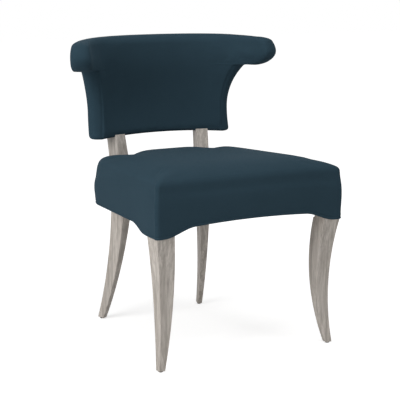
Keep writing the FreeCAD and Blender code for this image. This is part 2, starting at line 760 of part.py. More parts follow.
def front_block(word, side):
    """Corner block behind a front leg, across the front rail and the side rail."""
    body = new_body("front_corner_block_" + word)
    front = LEG_FRONT + size("rail_thickness")
    reach = size("block_reach")
    plan = [(LEG_INNER - reach, front), (LEG_INNER, front), (LEG_INNER, BLOCK_BACK),
            (side_x(RAIL_IN, BLOCK_BACK), BLOCK_BACK),
            (side_x(RAIL_IN, BLOCK_BACK + reach), BLOCK_BACK + reach)]
    sketch = new_sketch(body, "Plan", "XY_Plane", [([(side * x, y) for x, y in plan], {})], BLOCK_BOTTOM)
    add_pad(body, sketch, size("block_height"))
    gap = size("fit_gap")
    diameter = size("bolt_diameter")
    holes = [rod(diameter + 2 * gap, *bolt_line(side, BOLT_SEAT + size("bolt_tail"), diameter))]
    for place in (front_screws("head"), side_screws(side, "head")):
        holes += [rod(size("screw_head_diameter") + 2 * gap, *line) for line in place]
    for place in (front_screws("shank"), side_screws(side, "shank")):
        holes += [rod(size("screw_diameter") + 2 * gap, *line) for line in place]
    finish(drilled(body, holes, "front_corner_block_" + word), "front_corner_block_" + word)


def rear_block(word, side):
    """Glue block in the angle between the rear rail and a rear leg."""
    body = new_body("rear_corner_block_" + word)
    back = rear_rail_face(RAIL_IN)
    front_along = KNEE_FRONT + size("soft_gap")
    front_x, front_y = radial_point(INNER_FACE, front_along)
    corner = inner_face_x(back)
    plan = [(corner, back), (corner - size("rear_block_reach"), back), (front_x, front_y)]
    sketch = new_sketch(body, "Plan", "XY_Plane", [([(side * x, y) for x, y in plan], {})], BLOCK_BOTTOM)
    add_pad(body, sketch, size("block_height"))
    finish(body, "rear_corner_block_" + word)


# Hanger bolts run along the diagonal of each front corner, level with the middle of the blocks
BLOCK_MIDDLE = BLOCK_BOTTOM + size("block_height") / 2
DIAGONAL = math.sqrt(0.5)
NUT_SIDES = 6
HEXAGON_HALF_ANGLE = 30


def block_face():
    """Diagonal distance from the inner corner of a front leg to the long face of its corner block."""
    front = LEG_FRONT + size("rail_thickness")
    near_x, near_y = LEG_INNER - size("block_reach"), front
    far_y = BLOCK_BACK + size("block_reach")
    far_x = side_x(RAIL_IN, far_y)
    run_x, run_y = far_x - near_x, far_y - near_y
    start_x, start_y = LEG_INNER - near_x, BLOCK_BACK - near_y
    return (run_x * start_y - run_y * start_x) * -1 / ((run_x + run_y) * DIAGONAL)


BOLT_SEAT = block_face() + size("washer_gap")


def bolt_line(side, tail, reach):
    """Line along the corner diagonal from a tail behind the leg corner to a reach inside the leg."""
    begin = as_size(tail) * DIAGONAL
    start = (side * (LEG_INNER - begin), BLOCK_BACK + begin, BLOCK_MIDDLE)
    return start, Vector(side * DIAGONAL, -DIAGONAL, 0), as_size(tail) + reach


def front_leg_bolts():
    bolts, washers, nuts = [], [], []
    gap = size("fit_gap")
    for word, side in SIDES:
        tail = BOLT_SEAT + size("washer_thickness") + size("nut_thickness") + size("screw_head_height")
        bolts.append(rod(size("bolt_diameter"), *bolt_line(side, tail, size("bolt_reach")), name="Bolt"))
        start, direction, length = bolt_line(side, BOLT_SEAT + size("washer_thickness"), 0)
        disc = rod(size("washer_diameter"), start, direction, size("washer_thickness"), sides=ROUND_SIDES)
        washers.append(drilled(disc, [rod(size("bolt_diameter") + 2 * gap, start, direction,
                                          size("washer_thickness"))], "Washer"))
        start, direction, length = bolt_line(
            side, BOLT_SEAT + size("washer_thickness") + size("nut_thickness"), 0)
        across_corners = size("nut_width") / cosine(as_size(HEXAGON_HALF_ANGLE))
        hexagon = rod(across_corners, start, direction, size("nut_thickness"), sides=NUT_SIDES)
        nuts.append(drilled(hexagon, [rod(size("bolt_diameter") + 2 * gap, start, direction,
                                          size("nut_thickness"))], "Nut"))
    finish(group(bolts, "Bolts"), "front_leg_hanger_bolts")
    finish(group(washers, "Washers"), "hanger_bolt_washers")
    finish(group(nuts, "Nuts"), "hanger_bolt_nuts")


def screw_parts(entry, direction, part):
    """Line of a block screw's shank or of the sunk hole over its head, from its entry at a rail face."""
    if part == "shank":
        back = size("screw_grip")
        length = size("screw_length")
    else:
        back = size("screw_grip") + size("block_reach")
        length = size("block_reach")
    start = tuple(as_size(place) - back * step for place, step in zip(entry, direction))
    return start, Vector(*direction), length


def front_screws(part):
    """Screws from both front corner blocks into the front rail."""
    lines = []
    for word, side in SIDES:
        aside = LEG_INNER - size("block_reach") / 2
        entry = (side * aside, LEG_FRONT + size("rail_thickness"), BLOCK_MIDDLE)
        lines.append(screw_parts(entry, (0, -1, 0), part))
    return lines


def side_screws(side, part):
    """Screw from a front corner block into its side rail."""
    along = BLOCK_BACK + size("block_reach") / 2
    entry = (side * side_x(RAIL_IN, along), along, BLOCK_MIDDLE)
    direction = (side * cosine(TAPER).value, sine(TAPER).value, 0)
    return [screw_parts(entry, direction, part)]


def screws(lines, label):
    """Wood screws with flat heads along lines that start under the head."""
    made = []
    for start, direction, length in lines:
        shank = rod(size("screw_diameter"), start, direction, length)
        height = size("screw_head_height")
        head_start = tuple(place - height * step for place, step in zip(start, direction))
        head = rod(size("screw_head_diameter"), head_start, direction, height)
        screw = DOC.addObject("Part::Fuse", "Screw")
        screw.Base = shank
        screw.Tool = head
        made.append(screw)
    finish(group(made, label + "_set"), label)


def strap(length_x, length_y, middle_x, middle_y, bottom):
    box = DOC.addObject("Part::Box", "Strap")
    bind(box, Length=length_x, Width=length_y, Height=size("strap_thickness"))
    corner = (middle_x - length_x / 2, middle_y - length_y / 2, as_size(bottom))
    for axis, place in zip("xyz", corner):
        box.setExpression(f"Placement.Base.{axis}", as_size(place).text)
    return box


def webbing():
    """Two layers of webbing, side to side on the side rails and front to back on the cross rails."""
    width = size("strap_width")
    cross = []
    first = BLOCK_BACK + width
    room = CORNER_Y - first
    count = int(room.value // size("strap_pitch").value) + 1
    for index in range(count):
        middle = first + index * size("strap_pitch")
        half = side_x(RAIL_OUT + size("padding_thickness"), middle + width / 2)
        cross.append(strap(2 * half, width, as_size(0), middle, RAIL_TOP))
    finish(group(cross, "CrossStraps"), "webbing_side_to_side")
    front = LEG_FRONT + size("padding_thickness")
    back = rear_rail_face(RAIL_OUT + size("padding_thickness"))
    long_straps = []
    room = inner_face_x(rear_rail_face(RAIL_IN)) - width / 2
    each_side = int(room.value // size("strap_pitch").value)
    for index in range(-each_side, each_side + 1):
        middle = index * size("strap_pitch")
        long_straps.append(strap(width, back - front, middle, (front + back) / 2, CROSS_RAIL_TOP))
    finish(group(long_straps, "LongStraps"), "webbing_front_to_back")


# Soft forms of the seat

def seat_wire(inset, height, slope=0):
    """Closed seat outline of lines and arcs, drawn in by an inset, at a height that falls to the rear."""
    radius = size("rear_corner_radius").value - inset
    taper = math.radians(TAPER.value)
    corner = max(size("front_corner_radius").value - inset, size("front_corner_radius").value / 2)
    centre = Vector(CORNER_X.value, CORNER_Y.value, height)
    front = SEAT_FRONT.value + inset
    wide = side_x(inset, front).value
    trim = corner * math.tan(math.pi / 4 - taper / 2)
    along_side = Vector(-math.sin(taper), math.cos(taper), 0)
    tip = Vector(wide, front, height)
    front_end = tip - Vector(trim, 0, 0)
    side_start = tip + along_side * trim
    hub = front_end + Vector(0, corner, 0)
    middle = hub + (tip - hub).normalize() * corner
    out = Vector(math.cos(taper), math.sin(taper), 0)
    halfway = Vector(math.cos((taper + math.pi / 2) / 2), math.sin((taper + math.pi / 2) / 2), 0)
    side_end = centre + out * radius
    rear_end = centre + Vector(0, radius, 0)

    def mirrored(point):
        return Vector(-point.x, point.y, point.z)

    rear_middle = centre + halfway * radius
    for point in (front_end, middle, side_start, side_end, rear_middle, rear_end):
        point.z -= (point.y - front) * slope
    return plan_wire([mirrored(front_end), front_end, (middle, side_start), side_end, (rear_middle, rear_end),
                      mirrored(rear_end), (mirrored(rear_middle), mirrored(side_end)), mirrored(side_start),
                      (mirrored(middle), mirrored(front_end))], closed=False)


# Seat profile: shares of the draw-in and of the side height, then of the crown inset and of the crown
SEAT_SIDE_SHARES = ((1, 0), (0.2, 0.3), (0, 0.65))
SEAT_CROWN_SHARES = ((0.07, 0), (0.15, 0.45), (0.34, 0.8), (1, 1))


def seat_profile():
    """Crown and side of the seat from the hem up: inset from the outline and height."""
    low = size("hem_height").value - RAIL_OUT.value
    edge = SEAT_EDGE.value
    wall = edge - low
    crown = size("seat_crown").value
    flat = size("crown_inset").value
    draw = size("seat_draw_in").value
    side = [(draw * inward, low + wall * rise) for inward, rise in SEAT_SIDE_SHARES]
    return side + [(flat * inward, edge + crown * rise) for inward, rise in SEAT_CROWN_SHARES]


def seat_form():
    """Seat cushion with drawn-in sides and a crown that slopes to the rear."""
    slope = tangent(size("seat_rake")).value
    edge = SEAT_EDGE.value
    sections = [seat_wire(inset, height, slope * min(height / edge, 1) ** 2)
                for inset, height in seat_profile()]
    return Part.makeLoft(sections, True, True)


def prism(wire, direction):
    return Part.Face(wire).extrude(direction)


def loop_wire(corners, bulges, place):
    """Closed wire through corners given as sizes, set in space by a placing function."""
    points = [Vector(u.value, v.value, 0) for u, v in corners]
    edges = []
    for index, start in enumerate(points):
        end = points[(index + 1) % len(points)]
        if index in bulges:
            middle = arc_middle(start, end, bulges[index].value)
            edges.append(Part.Arc(place(start), place(middle), place(end)).toShape())
        else:
            edges.append(Part.LineSegment(place(start), place(end)).toShape())
    return Part.Wire(edges)


def below_hem(lift):
    """Everything under the scalloped hem, as two blocks: under the front and under the sides."""
    lift = as_size(lift)
    past = size("seat_depth")
    corners, bows = front_hem(lift)
    low = size("hem_height") - past
    wide = size("seat_half_width") + past
    corners = corners + [(wide, corners[-1][1]), (wide, low), (-wide, low), (-wide, corners[0][1])]
    start = SEAT_FRONT.value - past.value
    front = prism(loop_wire(corners, bows, lambda p: Vector(p.x, start, p.y)),
                  Vector(0, BLOCK_BACK.value - start, 0))
    corners, bows = side_hem(lift)
    rear = SEAT_FRONT + 2 * past
    begin = BLOCK_BACK
    corners = corners + [(rear, corners[-1][1]), (rear, low), (begin, low), (begin, corners[0][1])]
    sides = prism(loop_wire(corners, bows, lambda p: Vector(-wide.value, p.x, p.y)),
                  Vector(2 * wide.value, 0, 0))
    return [front, sides]


def rear_post_tools(spread):
    """Rear legs and posts grown by a clearance, to notch the upholstery round them."""
    tools = []
    for word, side in SIDES:
        body = rear_leg_body("room_" + word, side, as_size(spread))
        turn_body(body, side)
        tools.append(body.Shape.copy())
    return tools


def soft_piece(shape, label):
    """A sub-part whose free form is set from the sizes of the sheet."""
    thing = DOC.addObject("Part::Feature", label)
    if shape.ShapeType == "Compound" and len(shape.Solids) == 1:
        shape = shape.Solids[0]
    thing.Shape = shape
    finish(thing, label)


def seat_upholstery():
    """Covered seat cushion in one with its padded skirt, hollow over the frame, with a scalloped hem."""
    posts = rear_post_tools(size("soft_gap"))
    core = prism(seat_wire(RAIL_OUT.value - size("soft_gap").value, 0), Vector(0, 0, FOAM_BOTTOM.value))
    soft_piece(seat_form().cut([core] + below_hem(0) + posts), "seat_upholstery")


def dust_cover():
    """Thin cloth that closes the seat from below, notched round the legs."""
    body = new_body("dust_cover")
    gap = size("soft_gap")
    inset = RAIL_IN + gap
    front = SEAT_FRONT + inset
    back = rear_rail_face(inset)
    side_end_y = CORNER_Y
    leg_in_x = LEG_INNER - gap
    leg_back = BLOCK_BACK + gap
    front_x, front_y = radial_point(OUTER_FACE, KNEE_FRONT)
    half = [(leg_in_x, front), (leg_in_x, leg_back), (side_x(inset, leg_back), leg_back),
            (side_x(inset, side_end_y), side_end_y), (front_x, front_y - gap - size("cover_thickness")),
            (inner_face_x(front_y) - gap, front_y - gap - size("cover_thickness")),
            (inner_face_x(front_y) - gap, back)]
    plan = half + [(-x, y) for x, y in reversed(half)]
    sketch = new_sketch(body, "Plan", "XY_Plane", [(plan, {})],
                        BLOCK_BOTTOM - size("dust_cover_thickness"))
    add_pad(body, sketch, size("dust_cover_thickness"))
    finish(body, "dust_cover")


# Back: shell, top rail and soft forms

def seam_half_width(height):
    """Half width of the back between its side seams, from the waist up to the crest."""
    waist = BACK_WAIST.value
    share = max(height - waist, 0) / (CREST_UNDER.value - waist)
    return size("back_half_width").value + size("back_flare").value * share ** FLARE_POWER


def back_wire(height, half_width, front, back, cap):
    """Plan section between two offsets from the middle of the back, which turns forward at its ends."""
    radius = back_curve(height).value
    share = (below_crest(height) - BACK_BOTTOM).value / (CREST_UNDER - BACK_BOTTOM).value
    end_radius = radius + (size("crest_turn_radius").value - radius) * share ** TURN_POWER
    hub = Vector(0, back_set(height).value - radius, height)
    turn = math.asin(size("crest_turn").value * half_width / radius)
    end_hub = hub + Vector(math.sin(turn), math.cos(turn), 0) * (radius - end_radius)
    end_turn = math.asin((half_width - end_hub.x) / end_radius)

    def at(offset, angle, mirror=1):
        middle, reach = (end_hub, end_radius) if angle > turn else (hub, radius)
        reach += offset
        aside = middle.x + reach * math.sin(angle)
        return Vector(mirror * aside, middle.y + reach * math.cos(angle), height)

    halfway = (turn + end_turn) / 2
    swell = end_turn + cap / end_radius
    middle = (front + back) / 2
    points = [at(front, end_turn, LEFT), (at(front, halfway, LEFT), at(front, turn, LEFT)),
              (at(front, 0), at(front, turn)), (at(front, halfway), at(front, end_turn))]
    points.append((at(middle, swell), at(back, end_turn)) if cap else at(back, end_turn))
    points += [(at(back, halfway), at(back, turn)), (at(back, 0), at(back, turn, LEFT)),
               (at(back, halfway, LEFT), at(back, end_turn, LEFT))]
    if cap:
        points.append((at(middle, swell, LEFT), at(front, end_turn, LEFT)))
    return plan_wire(points, closed=not cap)


def panel_heights():
    """Heights of the sections of the panel, shared by all its layers."""
    low = BACK_BOTTOM.value
    return [low + (CREST_UNDER.value - low) * share for share in PANEL_SHARES]


def back_form():
    """Padded back: a flared panel that widens into a crest with rounded ends and an arched top."""
    half = size("back_half_thickness").value
    top = CREST_TOP.value
    tall = size("crest_end_height").value / 2
    length = size("crest_end_length").value
    straight = size("crest_half_width").value - length
    edge = size("crest_edge_round").value
    sections = [back_wire(height, seam_half_width(height), -half, half, size("back_edge_round").value)
                for height in panel_heights()]
    for angle in END_ANGLES:
        rise, reach = math.sin(math.radians(angle)), math.cos(math.radians(angle))
        height = CREST_UNDER.value + tall * (1 + rise)
        sections.append(back_wire(height, straight + length * reach, -half, half,
                                  size("crest_end_round").value))
    for angle in EDGE_ANGLES:
        rise, reach = math.sin(math.radians(angle)), math.cos(math.radians(angle))
        thin = half - edge * (1 - reach)
        sections.append(back_wire(top - edge * (1 - rise), straight, -thin, thin,
                                  size("crest_end_round").value * thin / half))
    return Part.makeLoft(sections, True, True).cut([lower_arch(), upper_arch()])


def arch_segment(low, half_width, rise):
    """Closed outline of an arc over a level chord, across the back."""
    return [Vector(-half_width, 0, low), (Vector(0, 0, low + rise), Vector(half_width, 0, low))]


def lower_arch():
    """What the arched lower edge of the back leaves away."""
    outline = arch_segment(BACK_BOTTOM.value, size("back_half_width").value, size("back_arch").value)
    return prism(plan_wire(outline), Vector(0, 2 * BACK_LOW_SET.value, 0))


def upper_arch():
    """What the arched top of the crest leaves away."""
    wide = size("crest_half_width").value
    high = CREST_TOP.value
    outline = arch_segment(high - size("crest_arch").value, wide, size("crest_arch").value)
    above = high + wide
    outline += [Vector(wide, 0, above), Vector(-wide, 0, above)]
    return prism(plan_wire(outline), Vector(0, 2 * CREST_SET.value, 0))


def back_slab(front, back, margin, low, high):
    """Curved slab between two offsets from the middle of the back and two heights, inside its side seams."""
    top = CREST_TOP.value
    wide = size("crest_half_width").value
    half_width = size("back_half_width").value - margin
    slab = Part.makeLoft([slab_wire(height, half_width, front, back) for height in panel_heights() + [top]],
                         True, True)
    return slab.common(Part.makeBox(2 * wide, 2 * top, high - low, Vector(-wide, 0, low)))


def slab_wire(height, half_width, front, back):
    """Plan section of a slab whose faces run round one centre."""
    radius = back_curve(height).value
    turn = math.asin(half_width / radius)
    hub = Vector(0, back_set(height).value - radius, height)

    def at(offset, angle):
        return hub + Vector(math.sin(angle), math.cos(angle), 0) * (radius + offset)

    return plan_wire([at(front, -turn), (at(front, 0), at(front, turn)), at(back, turn),
                      (at(back, 0), at(back, -turn))])


def top_rail_solid(spread):
    """Curved rail that the crest is padded round, grown by a clearance."""
    half = size("top_rail_depth").value / 2 + spread
    radius = size("crest_radius").value
    bottom = SHELL_TOP.value - spread
    angle = math.asin(size("crest_turn").value * size("crest_half_width").value / radius) + spread / radius
    hub = Vector(0, CREST_SET.value - radius, bottom)

    def at(reach, turn):
        return hub + Vector(reach * math.sin(turn), reach * math.cos(turn), 0)

    wire = plan_wire([at(radius - half, -angle), (at(radius - half, 0), at(radius - half, angle)),
                      at(radius + half, angle), (at(radius + half, 0), at(radius + half, -angle))])
    return prism(wire, Vector(0, 0, size("top_rail_height").value + 2 * spread))


def shell_screw_lines(side):
    """Lines of the screws that hold the back shell to a post, from the sunk head forwards."""
    direction = Vector(-side * sine(SPLAY).value, -cosine(SPLAY).value, 0)
    lines = []
    for height in (SHELL_SCREW_LOW, SHELL_SCREW_LOW + size("shell_screw_pitch")):
        rear_face = shell_radial(height) + shell_front() + size("shell_thickness")
        under_head = rear_face - size("screw_head_height")
        half_width, along = radial_point((INNER_FACE + OUTER_FACE) / 2, under_head)
        lines.append(((side * half_width, along, height), direction, size("shell_screw_length")))
    return lines


def back_shell():
    """Moulded shell with sunk holes for its screws."""
    front = shell_front().value
    low = BACK_BOTTOM.value + size("back_arch").value + RAIL_LIFT.value
    plate = DOC.addObject("Part::Feature", "ShellPlate")
    plate.Shape = back_slab(front, front + size("shell_thickness").value, size("shell_margin").value, low,
                            SHELL_TOP.value)
    gap = size("fit_gap")
    holes = []
    for side in (LEFT, RIGHT):
        for start, direction, length in shell_screw_lines(side):
            holes.append(rod(size("screw_diameter") + 2 * gap, start, direction, length))
            height = 2 * size("screw_head_height")
            head_start = tuple(place - height * step for place, step in zip(start, direction))
            holes.append(rod(size("screw_head_diameter") + 2 * gap, head_start, direction, height))
    finish(drilled(plate, holes, "back_shell"), "back_shell")


def back_upholstery():
    """Covered padding: the inside back in one with the crest, and the outside back behind the shell."""
    gap = size("soft_gap").value
    front = shell_front().value
    behind = front + size("shell_thickness").value
    margin = size("shell_margin").value
    low = BACK_BOTTOM.value
    high = SHELL_TOP.value + gap
    past = 2 * size("back_half_thickness").value
    whole = back_form()
    posts = rear_post_tools(size("soft_gap")) + [tongue_room(side) for word, side in SIDES]
    shell_room = back_slab(front - gap, behind + gap, margin - gap, low, high)
    rear_room = back_slab((front + behind) / 2, past, margin - gap, low, CREST_UNDER.value + gap)
    soft_piece(whole.cut([shell_room, rear_room, top_rail_solid(gap)] + posts), "inside_back_upholstery")
    rear_part = back_slab(behind + gap, size("back_half_thickness").value, margin, low, CREST_UNDER.value)
    soft_piece(rear_part.cut([lower_arch()] + rear_post_tools(size("soft_gap"))), "outside_back_upholstery")


def tongue_room(side):
    """Room in the padding for the thinned end of a post."""
    gap = size("soft_gap").value
    neck = BACK_BOTTOM.value
    tip = neck + size("back_arch").value + size("tongue_length").value + gap
    reach_low = shell_radial(neck).value + shell_front().value
    reach_high = shell_radial(tip).value + shell_front().value
    thick = size("tongue_thickness").value + 2 * gap
    outline = [(reach_low - thick, neck), (reach_low + thick, neck), (reach_high + thick, tip),
               (reach_high - thick, tip)]
    wide = size("rear_thickness").value + 2 * gap
    begin = (OUTER_FACE.value if side == LEFT else -INNER_FACE.value) - gap
    room = prism(plan_wire([Vector(begin, along, height) for along, height in outline]), Vector(wide, 0, 0))
    room.rotate(Vector(0, 0, 0), UP, -side * SPLAY.value)
    return room


def check_document():
    """Stops if any object failed or any sub-part has no valid shape."""
    DOC.recompute()
    for thing in DOC.Objects:
        if "Invalid" in thing.State or "Error" in thing.State:
            raise RuntimeError(f"{thing.Label} failed: {thing.State}")
    for piece in PIECES:
        if piece.Shape.isNull() or not piece.Shape.isValid() or not piece.Shape.Solids:
            raise RuntimeError(f"{piece.Label} has no valid shape")


def export_pieces():
    os.makedirs("parts", exist_ok=True)
    for piece in PIECES:
        piece.Shape.exportStep(f"parts/{piece.Label}.step")
        print(f"{piece.Label}: {len(piece.Shape.Solids)} solid, {piece.Shape.Volume / 1000:.1f} cm3")


def main():
    for word, side in SIDES:
        front_leg(word, side)
        rear_leg(word, side)
        side_rail(word, side)
        front_block(word, side)
        rear_block(word, side)
    front_rail()
    rear_rail()
    rail_dowels()
    front_leg_bolts()
    screws(front_screws("shank") + side_screws(LEFT, "shank") + side_screws(RIGHT, "shank"),
           "corner_block_screws")
    floor_glides()
    webbing()
    dust_cover()
    seat_upholstery()
    back_shell()
    screws(shell_screw_lines(LEFT) + shell_screw_lines(RIGHT), "back_shell_screws")
    soft_piece(top_rail_solid(0), "top_rail")
    back_upholstery()
    check_document()
    export_pieces()


main()
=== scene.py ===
"""Dressed side chair: upholstered seat and back, grey-washed oak legs and a plain studio stage."""
import json
import math

import bmesh
import bpy
from bpy.props import FloatProperty, FloatVectorProperty, PointerProperty
from bpy.types import Operator, Panel, PropertyGroup
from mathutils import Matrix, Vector


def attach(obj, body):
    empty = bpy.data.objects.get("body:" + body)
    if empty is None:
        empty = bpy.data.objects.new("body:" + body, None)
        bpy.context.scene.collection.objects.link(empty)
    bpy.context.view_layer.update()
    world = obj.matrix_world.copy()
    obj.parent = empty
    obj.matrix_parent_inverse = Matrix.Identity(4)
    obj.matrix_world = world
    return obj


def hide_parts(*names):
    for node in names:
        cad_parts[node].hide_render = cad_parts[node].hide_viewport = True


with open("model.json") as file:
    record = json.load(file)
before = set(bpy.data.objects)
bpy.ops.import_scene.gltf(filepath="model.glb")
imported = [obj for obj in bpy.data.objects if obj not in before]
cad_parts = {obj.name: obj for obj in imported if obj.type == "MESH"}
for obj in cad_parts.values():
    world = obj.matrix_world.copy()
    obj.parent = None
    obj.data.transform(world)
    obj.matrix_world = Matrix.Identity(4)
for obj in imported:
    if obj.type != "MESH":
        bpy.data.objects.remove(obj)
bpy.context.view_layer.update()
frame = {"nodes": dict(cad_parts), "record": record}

bl_info = {
    "name": "Upholstered side chair",
    "version": (1, 0, 0),
    "blender": (4, 5, 0),
    "location": "View3D > Sidebar > Side chair",
    "description": "Dresses a side chair with fabric, oak and a studio stage",
    "category": "Object",
}

BODY = "root"


# Sizes, colours and light that a user may change. Lengths are metres, and depths in the plan
# count from the line through the front feet towards the rear.

def length(name, description, default):
    """A length property in metres."""
    return FloatProperty(name=name, description=description, default=default, min=0.0, unit="LENGTH",
                         precision=4)


def angle(name, description, degrees):
    """An angle property whose default is written in degrees."""
    return FloatProperty(name=name, description=description, default=math.radians(degrees), unit="ROTATION")


def share(name, description, default):
    """A share from nothing to all."""
    return FloatProperty(name=name, description=description, default=default, min=0.0, max=1.0,
                         subtype="FACTOR")


def colour(name, description, default):
    """A linear colour property."""
    return FloatVectorProperty(name=name, description=description, default=default, size=3, min=0.0, max=1.0,
                               subtype="COLOR")


def power(name, description, default):
    """The power of a lamp in watts."""
    return FloatProperty(name=name, description=description, default=default, min=0.0, unit="POWER")


class SeatSizes(PropertyGroup):
    """Sizes of the covered seat."""
    origin_back: length("Origin", "Front feet line to the middle of the chair", 0.26325)
    half_width: length("Half width", "Half width of the seat at its front edge", 0.285)
    overhang: length("Overhang", "Seat front ahead of the front feet line", 0.028)
    depth: length("Depth", "Seat front to seat rear", 0.533)
    taper: angle("Taper", "Angle of each seat side to the centre line", 5.6)
    front_corner: length("Front corners", "Plan radius of the front corners", 0.012)
    crown_corner: length("Crown corners", "Plan radius of the front corners where the crown begins", 0.042)
    rear_corner: length("Rear corners", "Plan radius of the rear corners", 0.120)
    edge_height: length("Edge height", "Floor to the front edge of the seat top", 0.482)
    roll: length("Roll", "Rise of the rolled edge of the seat top", 0.013)
    rear_roll: length("Rear roll", "How much taller the rolled edge is towards the rear", 0.018)
    dome: length("Dome", "Rise of the seat top inside its rolled edge", 0.022)
    dome_run: length("Dome run", "Rolled edge to the flat middle of the dome", 0.118)
    rake: angle("Rake", "Backward slope of the seat top", 1.6)
    draw_in: length("Draw-in", "How far the seat sides draw in at the hem", 0.0035)
    hem_height: length("Hem", "Floor to the hem over the front legs", 0.348)
    hem_sweep: length("Front sweep", "Width of the sweep of the front hem", 0.095)
    hem_middle: length("Sweep middle", "Centre line to the middle of the front sweep", 0.217)
    hem_step: length("Front step", "Rise of the hem along the front sweep", 0.024)
    hem_arch: length("Front arch", "Rise of the front hem between the sweeps", 0.005)
    side_hem_start: length("Side sweep start", "Front feet line to the side sweep", 0.062)
    side_hem_sweep: length("Side sweep", "Length of the side sweep", 0.080)
    side_hem_step: length("Side step", "Rise of the hem along the side sweep", 0.018)
    hem_band: length("Hem band", "Height of the turned hem", 0.007)
    drape: length("Drape", "How far the skirt stands out over the front legs", 0.0068)
    post_dip: length("Post dip", "How far the cover is drawn down at a back post", 0.0165)
    post_x: length("Post", "Centre line to the middle of a back post", 0.132)
    post_y: length("Post place", "Front feet line to the front of a back post", 0.447)
    skirt: length("Skirt", "Thickness of the skirt round the frame", 0.0031)
    ceiling: length("Ceiling", "Floor to the underside of the cushion", 0.430)
    swell: length("Swell", "How far the filling may puff the cover out", 0.003)


class BackSizes(PropertyGroup):
    """Sizes of the padded back and its crest."""
    bottom: length("Lower edge", "Floor to the lower corners of the back", 0.5405)
    arch: length("Lower arch", "Rise of the lower edge", 0.005)
    waist_height: length("Waist height", "Floor to the waist", 0.610)
    half_width: length("Half width", "Half width at the waist between the seams", 0.206)
    flare: length("Flare", "How far each side flares out under the crest", 0.036)
    half_thickness: length("Half thickness", "Half thickness of the padding", 0.026)
    edge_round: length("Side rounding", "Swell of the side bands", 0.021)
    bottom_set: length("Lower set", "Front feet line to the back at its lower edge", 0.505)
    middle_set: length("Middle set", "Front feet line to the back at half height", 0.519)
    middle_height: length("Middle height", "Floor to the rearmost line", 0.660)
    bottom_radius: length("Lower curve", "Plan curve at the lower edge", 0.600)
    crest_set: length("Crest set", "Front feet line to the crest", 0.508)
    crest_radius: length("Crest curve", "Plan curve of the crest", 0.490)
    turn: share("Turn", "Share of the half width at which the back turns forward", 0.665)
    turn_radius: length("Turn curve", "Plan curve of the crest ends", 0.191)
    crest_top: length("Crest top", "Floor to the top of the crest", 0.830)
    crest_arch: length("Crest arch", "Rise of the crest top to the centre line", 0.011)
    end_height: length("End height", "Height of the rounded crest ends", 0.078)
    end_length: length("End length", "Length of the rounded crest ends", 0.039)
    crest_half_width: length("Crest half width", "Half width between the end seams", 0.301)
    end_drop: length("End drop", "How far the crest ends hang below their root", 0.0065)
    edge: length("Edge", "Rounding of the upper crest edge", 0.025)
    roll: length("Roll", "How far the crest ends stand out over the panel", 0.004)
    lower_edge: length("Lower rounding", "Rounding of the lower edge", 0.009)
    band_lean: length("Band lean", "How far the side bands widen to the rear under the crest", 0.006)
    seam_depth: length("Seam", "Depth of the sewn lines beside the bands", 0.0038)
    end_round: length("End rounding", "Swell of the end bands", 0.011)
    swell: length("Swell", "How far the filling may puff the cover out", 0.002)


class Finishes(PropertyGroup):
    """Colours of cloth, wood and the hidden pieces, with the weave and the eased edges."""
    fabric: colour("Fabric", "Ground colour of the cover", (0.022, 0.0455, 0.0635))
    fabric_light: colour("Fabric light", "Raised threads of the cover", (0.0312, 0.0625, 0.0855))
    fabric_sheen: colour("Fabric sheen", "Colour of the soft sheen", (0.55, 0.72, 0.85))
    thread: length("Thread", "Pitch of the weave", 0.0014)
    oak_light: colour("Oak light", "Washed faces of the oak", (0.690, 0.636, 0.582))
    oak_dark: colour("Oak dark", "Grain of the oak", (0.285, 0.252, 0.218))
    eased_edge: length("Eased edge", "Width of the eased edges of the legs", 0.0009)
    hardwood: colour("Hardwood", "Frame inside the seat", (0.52, 0.38, 0.24))
    plywood: colour("Plywood", "Moulded shell of the back", (0.60, 0.46, 0.30))
    strap: colour("Strap", "Webbing under the seat", (0.30, 0.24, 0.16))
    dust_cloth: colour("Dust cloth", "Cloth under the seat", (0.03, 0.03, 0.032))
    plastic: colour("Plastic", "Glides under the feet", (0.06, 0.06, 0.06))
    steel: colour("Steel", "Screws, bolts and washers", (0.55, 0.55, 0.56))


class StageSizes(PropertyGroup):
    """Camera and light of the studio."""
    camera_turn: angle("Camera turn", "Turn of the view about the vertical", 30.2936)
    camera_pitch: angle("Camera pitch", "Downward pitch of the view", 10.2404)
    camera_place: FloatVectorProperty(name="Camera place", description="Place of the camera", size=3,
                                      default=(-1.74185, -2.99822, 1.00688), subtype="TRANSLATION",
                                      unit="LENGTH")
    focal: FloatProperty(name="Focal length", description="Lens in millimetres on a 36 mm sensor",
                         default=114.17, min=1.0)
    key_power: power("Key light", "Power of the light from the left", 49.0)
    fill_power: power("Fill light", "Power of the light from the front", 3.0)
    top_power: power("Top light", "Power of the light from above", 28.0)


# Meshes

CLOTH = {
    "quality": 6,
    "mass": 0.4,
    "tension_stiffness": 25,
    "compression_stiffness": 25,
    "shear_stiffness": 10,
    "bending_stiffness": 2,
    "use_pressure": True,
    "uniform_pressure_force": 2.0,
}
SWELL_FRAMES = 20


def new_piece(name, points, faces):
    """A mesh object from points and faces, linked to the scene."""
    mesh = bpy.data.meshes.new(name)
    mesh.from_pydata([tuple(point) for point in points], [], faces)
    mesh.validate()
    mesh.update()
    piece = bpy.data.objects.new(name, mesh)
    bpy.context.scene.collection.objects.link(piece)
    return piece


def rows_mesh(name, rows):
    """A piece with faces between rings of equal length, open at both ends, and the length of a ring."""
    count = len(rows[0])
    points = [point for row in rows for point in row]
    faces = []
    for number in range(len(rows) - 1):
        below, above = number * count, (number + 1) * count
        for i in range(count):
            j = (i + 1) % count
            faces.append((below + i, below + j, above + j, above + i))
    return new_piece(name, points, faces), count


